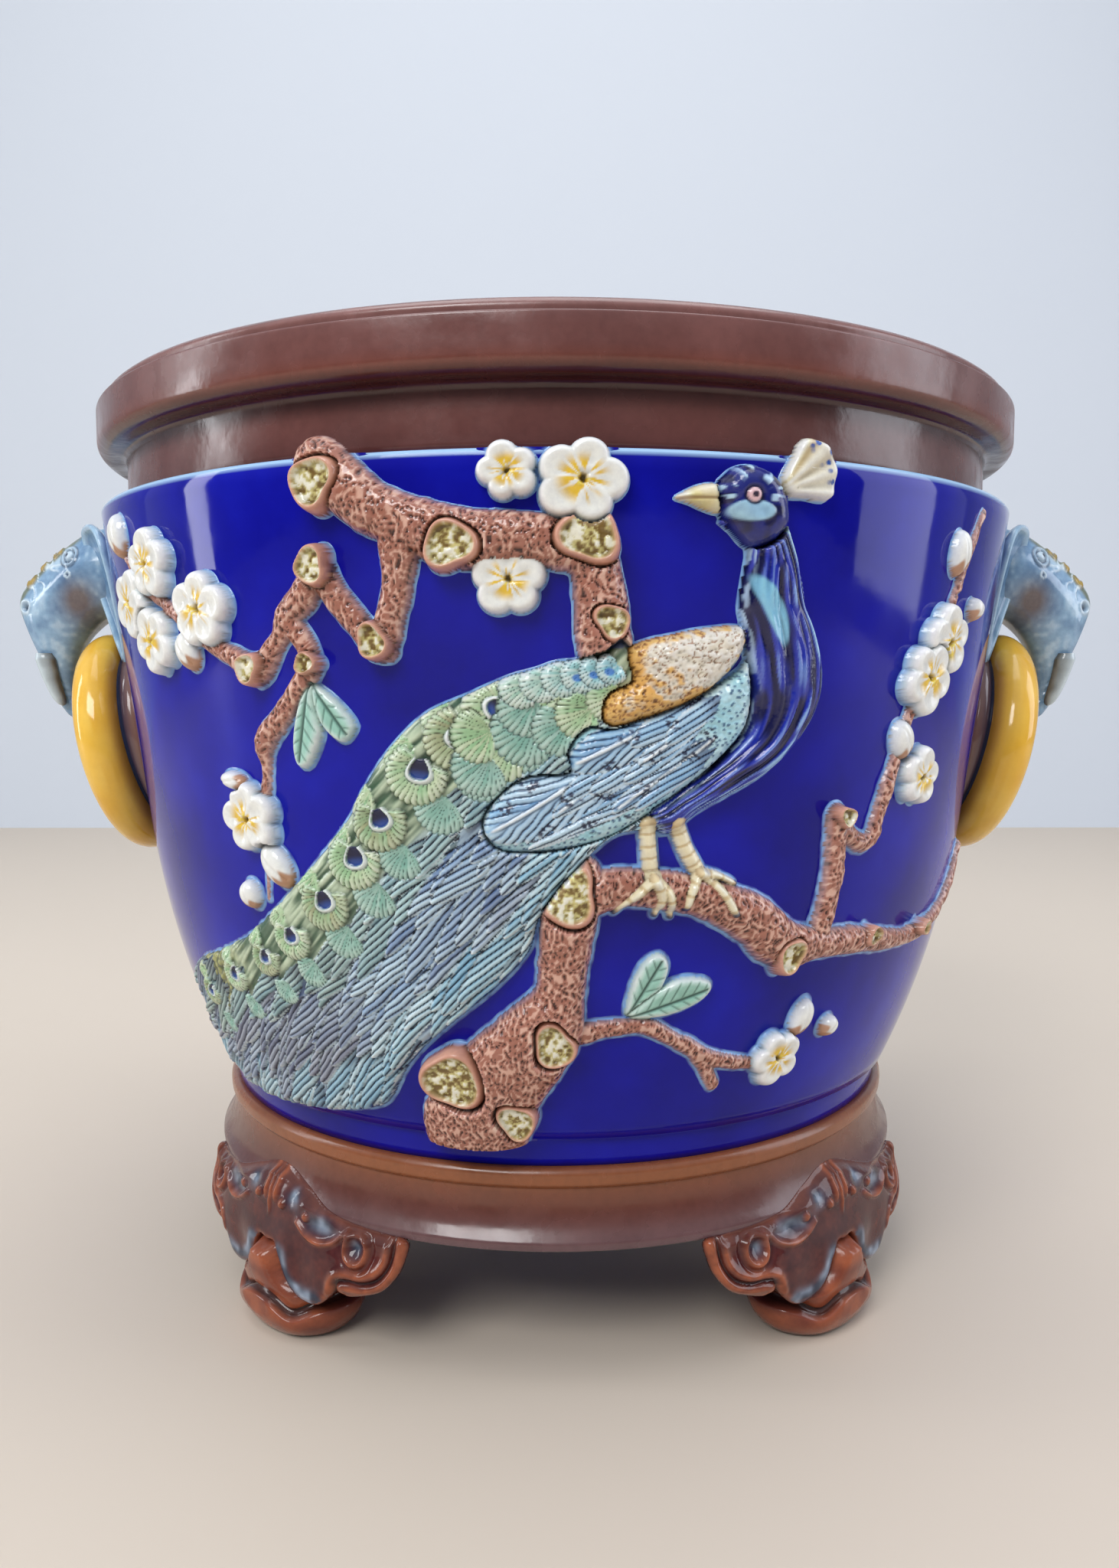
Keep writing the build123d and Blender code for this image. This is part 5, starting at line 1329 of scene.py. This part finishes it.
def ring(side, turn):
    """The tube, with painted shade on its side towards the wall, and a collar that runs from behind it until it
    meets the wall, painted with the ring's shadow and its reflection in the wall.
    """
    u = np.linspace(0, 2 * math.pi, RING_AROUND, endpoint=False)[:, None]
    v = np.linspace(0, 2 * math.pi, RING_SECTION, endpoint=False)[None, :]
    r = RING_MEAN + RING_TUBE * (1 + 0.012 * np.sin(3 * u + 1)) * np.cos(v)
    tube = ring_place(RING_TUBE * np.sin(v) + 0 * u, r * np.sin(u), r * np.cos(u)).reshape(-1, 3)
    # yellow, with painted shade on the side of the tube that faces the wall
    tone = layered((0.80, 0.44, 0.035), ((0.88, 0.56, 0.09), noise(np.sin(u) * 4 + v, np.cos(u) * 4, 320)),
                   ((0.42, 0.19, 0.03), smoothstep(-0.55, -0.95, np.sin(v) + 0 * u) * 0.9))
    rings, tones = [], []
    for (offset, depth), colour in zip(COLLAR, COLLAR_SHADOW_AND_REFLECTION):
        y, h = (RING_MEAN + offset) * np.sin(u[:, 0]), (RING_MEAN + offset) * np.cos(u[:, 0])
        low, high = np.zeros(RING_AROUND), np.full(RING_AROUND, depth)
        for _ in range(24):
            middle = (low + high) / 2
            p = ring_place(-middle, y, h)
            outside = np.hypot(p[:, 0], p[:, 1]) > wall(p[:, 2]) - 0.6
            low, high = np.where(outside, middle, low), np.where(outside, high, middle)
        rings.append(ring_place(-low, y, h))
        tones.append(np.tile(np.array(colour), (RING_AROUND, 1)))
    tube_faces = grid_faces(RING_AROUND, RING_SECTION, True, True)[:, ::-1]
    collar_faces = grid_faces(len(COLLAR), RING_AROUND, wrap_cols=True)
    made = [(tube, tube_faces, tone.reshape(-1, 3)),
            (np.concatenate(rings), collar_faces, np.concatenate(tones))]
    joined("handle_ring_form_" + side, made, yellow, "handle_ring_" + side, turn)


for side, turn in (("right", 0.0), ("left", math.pi)):
    for make in (elephant, ears, tusks, ring):
        make(side, turn)

# feet: each has a scrolled bracket over a lobed pad, laid out as arc length from its middle and height
FOOT_R, PAD_R, BRACKET_BACK = 162.0, 145.0, 156.9
BRACKET_LOW = [(0, 35.6), (5.2, 35.8), (8.2, 31.5), (11.5, 24.9), (16.3, 20.4), (23.4, 18.4), (31, 19.2),
               (37.2, 24.2), (41.2, 28.6), (46.5, 26.9), (54.7, 29.2), (61.8, 32.4), (67.0, 38.2),
               (69.6, 44.5), (70.2, 51.0)]
BRACKET_HIGH = [(62, 51.8), (53, 52.4), (45.5, 53.0), (39, 53.8), (32, 55.0), (26, 56.8), (20.5, 58.8),
                (15, 60.6), (10.5, 62.2), (5.5, 63.5), (0, 64.0)]
LOBE_LINE = [(40.2, 27.5), (42.2, 32.0), (47, 33.4), (54, 33.9), (60, 36.4), (63.8, 41), (65.2, 46.4),
             (65.6, 52.5)]
CRESCENT = [(18.5, 48.0), (24, 44.6), (31, 43.4), (38, 45.2), (44.5, 50.4)]
SCROLL, SCROLL_R = (49.2, 45.4), 4.9
DROPS = [(8.6, 52.0), (23.0, 50.6)]
TONGUE_EDGE = [(9.0, 33.0), (12.2, 25.8), (17.0, 21.9), (23.6, 20.2), (30.5, 21.0)]
MAROON, RUST, EMBER = (0.048, 0.010, 0.013), (0.120, 0.026, 0.020), (0.44, 0.125, 0.052)
POOL, MILKY, SHADOW = (0.020, 0.034, 0.06), (0.34, 0.42, 0.52), (0.02, 0.008, 0.01)
RING_BROWN, RING_MAROON = (0.125, 0.040, 0.028), (0.085, 0.025, 0.020)
# the ring's outer face, which the bracket's upper edge meets flush: height and radius
RING_FACE = ([51, 54, 58.5, 64.5, 72], [156.4, 156.6, 153.3, 151.3, 150.2])
TURNS = {"front_left": -45, "front_right": 45, "back_right": 135, "back_left": -135}


def bracket_radius(z):
    """The plate's plain outer radius: upright below the ring's lip, leaning back above it."""
    return FOOT_R - 3.6 * smoothstep(32.0, 50.0, z) - 7.0 * np.clip((z - 51.0) / 29.0, 0, 1)


half = curve_points(BRACKET_LOW + BRACKET_HIGH, 0.8)
bracket_outline = np.concatenate([half, (half * (-1, 1))[::-1][1:-1]])


def bracket():
    """The bracket's carved front and its back, as vertices, faces and colours."""
    step = 0.5
    s, z = np.meshgrid(np.arange(-72, 72.1, step), np.arange(16, 66, step))
    m = np.abs(s)
    d = outline_distance(bracket_outline, s, z)
    lobe, crescent = line_distance(LOBE_LINE, m, z), line_distance(CRESCENT, m, z)
    top_edge, tongue_edge = line_distance(BRACKET_HIGH, m, z), line_distance(TONGUE_EDGE, m, z)
    scroll = np.hypot(m - SCROLL[0], (z - SCROLL[1]) * 0.92)
    tongue = np.exp(-((m - 22) / 9.0) ** 2 - ((z - 31) / 9.0) ** 2)
    lip = bell(lobe - 2.6, 1.5) * (d < 0)
    over_crescent = np.exp(-((m - 31) / 9.0) ** 2 - ((z - 49.5) / 3.4) ** 2)
    shelf = np.exp(-((m - 14) / 4.0) ** 2 - ((z - 55.5) / 3.0) ** 2)
    leaf = bell(m - 3.4, 1.5) * smoothstep(50, 54, z) + 0.9 * bell(m, 0.9) * smoothstep(44, 50, z)
    drops = np.zeros(s.shape)
    for ds, dz in DROPS:
        drops = np.maximum(drops, np.sqrt(np.clip(1 - ((m - ds) ** 2 + (z - dz) ** 2) / 2.1 ** 2, 0, 1)))
    rise = dome(d, 2.6, 4.5) - 1.6 * tongue - 1.5 * bell(lobe, 0.75) + 0.9 * lip + 1.5 * bell(crescent, 1.1)
    rise = rise - 1.3 * over_crescent * (1 - bell(crescent, 1.1)) + 1.7 * bell(scroll - SCROLL_R, 1.15)
    rise = rise - 1.5 * bell(scroll, 2.4) - 0.8 * bell(scroll - SCROLL_R - 2.6, 0.9)
    rise = rise + 1.6 * drops + 1.1 * leaf * (d < 0) - 1.2 * shelf
    mottle = noise(s / 5.0, z / 4.0, 401) * 0.6 + noise(s / 1.6, z / 1.4, 402) * 0.4
    # raised lip, crescent, scroll, drops and edge in a lighter orange-brown: partly the raised parts' own
    # glaze, partly painted highlight
    raised = np.clip(lip * 0.9 + bell(crescent, 1.2) + bell(scroll - SCROLL_R, 1.2) + leaf, 0, 1)
    raised = np.clip(raised + bell(d + 1.0, 1.2) * 0.8 + drops, 0, 1)
    pools = 1.2 * bell(tongue_edge - 1.8, 2.3) * (d < -0.8)
    pools = np.clip(pools + 1.1 * over_crescent + 1.1 * shelf + bell(scroll, 2.2), 0, 1) * (1 - drops)
    merge = smoothstep(9.0, 1.0, top_edge) * (z > 46) * (1 - np.clip(pools + drops + leaf, 0, 1))
    paint = layered(MAROON, (RUST, np.clip(0.1 + 1.1 * (mottle - 0.3), 0, 1)),
                    (EMBER, raised * (0.30 + 0.6 * mottle)),
                    (mix(POOL, MILKY, noise(s / 3.4, z / 3.4, 403) ** 2.2), pools * 0.9),
                    (SHADOW, bell(lobe, 0.55) * 0.9), (mix(RING_MAROON, RING_BROWN, mottle), merge * 0.9))
    gz, gs = np.gradient(d, step)
    steep = np.hypot(gs, gz) + 1e-9
    out = np.clip(d, 0, step * 1.5)
    s_on, z_on = s - gs / steep * out, z - gz / steep * out
    near = np.where(z < 40, 1.0, smoothstep(0.0, 13.0, top_edge))
    flush = np.interp(z_on, *RING_FACE) + 0.15
    detail = np.where(d < 0, rise, 0) * np.where(z < 46, 1.0, smoothstep(0.0, 4.0, top_edge))
    front_r = flush + (bracket_radius(z_on) - 1.6 - flush) * near + detail
    quads = grid_faces(*s.shape)
    quads = quads[(d.ravel()[quads] < step * 1.01).all(1) & (d.ravel()[quads].min(1) < 0)]
    used, local = np.unique(quads, return_inverse=True)
    skins = []
    for r in (front_r, np.minimum(BRACKET_BACK, front_r - 1.0)):
        skin = np.stack([r * np.sin(s_on / FOOT_R), -r * np.cos(s_on / FOOT_R), z_on], -1)
        skins.append(skin.reshape(-1, 3)[used])
    verts, faces = closed_sheet(*skins, local.reshape(-1, 4))
    return verts, faces, np.concatenate([paint.reshape(-1, 3)[used]] * 2)


def pad():
    """Rings of a stretched outline, kept behind the bracket, with a groove between toe and knee."""
    runs = (np.linspace(0, 0.35, 12), np.linspace(0.36, 0.54, 22), np.linspace(0.55, 1, 22))
    levels = np.concatenate(runs)[:, None]
    around_pad = np.linspace(0, 2 * math.pi, 144, endpoint=False)[None, :]
    aside, outward = np.sin(around_pad), np.cos(around_pad)
    toe_share, knee_share = np.clip(levels / 0.45, 0, 1), np.clip((levels - 0.45) / 0.55, 0, 1)
    groove_at = 16.0 - 5.0 * bell(np.abs(aside) - 0.62, 0.25) * (outward > -0.4)
    height = np.where(levels < 0.45, toe_share * groove_at, groove_at + knee_share * (51.2 - groove_at))
    toe = 16.0 + 6.6 * np.sin(toe_share * math.pi * 0.62) ** 0.8
    knee = 12.0 + 9.6 * np.sin(math.pi * np.clip(0.2 + 0.72 * knee_share, 0, 1)) ** 0.7
    radius = np.where(levels < 0.45, toe, knee) - 2.2 * bell(height - groove_at, 1.1)
    s, forward = radius * 1.35 * aside, radius * outward
    behind = outline_distance(bracket_outline[::3], s, height)
    limit = np.where(behind < 0, 12.6, 12.6 + np.minimum(behind * 2.4, 9.0))
    forward = np.where(forward > 0, np.minimum(forward, limit), forward)
    # painted light on the pad: painted shadow in the groove and along the bracket's edge, lighter on the side
    # that faces forward, and painted shade towards the sole
    shadow = np.clip(bell(height - groove_at, 0.9) * 0.9 + smoothstep(1.4, 0.2, behind) * 0.7, 0, 0.95)
    tone = layered(RUST, (EMBER, np.clip(0.55 * noise(s / 6.0, height / 5.0, 410) + 0.22 * outward, 0, 1)),
                   ((0.02, 0.008, 0.008), shadow), ((0.06, 0.02, 0.014), smoothstep(3.0, 0.0, height) * 0.8))
    rings = np.stack([s, -(PAD_R + forward), height], -1)
    middle = rings[0].mean(0)
    sole = [middle + (rings[0] - middle) * k for k in (0.02, 0.5)]
    verts = np.concatenate(sole + [rings.reshape(-1, 3)])
    paint = np.concatenate([np.tile(np.array(RUST), (2 * s.shape[1], 1)), tone.reshape(-1, 3)])
    return verts, grid_faces(len(rings) + 2, s.shape[1], wrap_cols=True), paint


bracket_form, pad_form = bracket(), pad()
for place, degrees in TURNS.items():
    for name, node, form, mat in (("bracket", "foot_bracket_", bracket_form, bracket_mat),
                                  ("pad", "foot_pad_", pad_form, pad_mat)):
        verts, faces, paint = form
        new_object(name + "_form_" + place, verts, faces, mat, [node + place], paint=paint,
                   turn=math.radians(degrees))


# stage, lights and camera
def simple(name, colour, rough):
    m = bpy.data.materials.new(name)
    m.use_nodes = True
    b = m.node_tree.nodes["Principled BSDF"]
    b.inputs["Base Color"].default_value = (*colour, 1)
    b.inputs["Roughness"].default_value = rough
    return m


def plane(name, verts, mat):
    me = bpy.data.meshes.new(name)
    me.from_pydata(verts, [], [(0, 1, 2, 3)])
    me.materials.append(mat)
    ob = bpy.data.objects.new(name, me)
    scene.collection.objects.link(ob)
    ob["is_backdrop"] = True
    return ob


plane("floor", [(-4, -3, 0), (4, -3, 0), (4, 1.55, 0), (-4, 1.55, 0)],
      simple("floor_pale", (0.60, 0.52, 0.43), 0.6))
plane("backdrop", [(-4, 1.5, -0.5), (4, 1.5, -0.5), (4, 1.5, 4), (-4, 1.5, 4)],
      simple("backdrop_pale", (0.62, 0.67, 0.74), 0.8))

# the world is bright above and behind the object, and dim in front of it
world = bpy.data.worlds.new("soft")
scene.world = world
world.use_nodes = True
wt = world.node_tree
split = wt.nodes.new("ShaderNodeSeparateXYZ")
wt.links.new(wt.nodes.new("ShaderNodeTexCoord").outputs["Generated"], split.inputs[0])
brighter = wt.nodes.new("ShaderNodeMath")
brighter.operation = "MAXIMUM"
for k, (axis, low, high) in enumerate([("Z", -0.05, 0.75), ("Y", -0.3, 0.5)]):
    share = add_node(wt, "ShaderNodeMapRange", From_Min=low, From_Max=high)
    wt.links.new(split.outputs[axis], share.inputs["Value"])
    wt.links.new(share.outputs["Result"], brighter.inputs[k])
SKY = [(0.0, (0.15, 0.15, 0.165)), (0.5, (0.34, 0.36, 0.40)), (1.0, (0.72, 0.78, 0.88))]
background = wt.nodes["Background"]
wt.links.new(ramp(wt, brighter.outputs["Value"], SKY), background.inputs["Color"])
background.inputs["Strength"].default_value = 0.9

AIM = (0, 0, 0.2)


def area(name, place, size, power, colour=(1, 1, 1)):
    lamp = bpy.data.lights.new(name, "AREA")
    lamp.shape = "RECTANGLE"
    lamp.size, lamp.size_y = size
    lamp.energy = power
    lamp.color = colour
    ob = bpy.data.objects.new(name, lamp)
    scene.collection.objects.link(ob)
    ob.location = place
    ob.rotation_euler = (Vector(AIM) - Vector(place)).to_track_quat("-Z", "Y").to_euler()


area("key", (-0.9, -1.9, 1.9), (1.3, 1.0), 42)
area("right_window", (1.9, -0.25, 0.9), (0.9, 1.7), 16, (0.90, 0.92, 1.0))
area("left_window", (-1.9, -0.1, 0.8), (0.25, 1.5), 9, (0.96, 0.97, 1.0))
area("top", (0, 0.2, 2.3), (1.8, 1.8), 20)

SENSOR = 36.0
cam = bpy.data.cameras.new("photo_camera")
cam.sensor_width, cam.sensor_fit = SENSOR, "AUTO"
cam.lens = SENSOR * FOCAL / PHOTO_H
cam_ob = bpy.data.objects.new("photo_camera", cam)
scene.collection.objects.link(cam_ob)
cam_ob.location = CAM * MM
cam_ob.rotation_euler = (math.pi / 2 - PITCH, 0, -YAW)
scene.camera = cam_ob
scene.view_settings.view_transform = "Standard"

size = {"cad": [list(map(float, v)) for v in cad_box], "visual": [list(map(float, v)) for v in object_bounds()]}
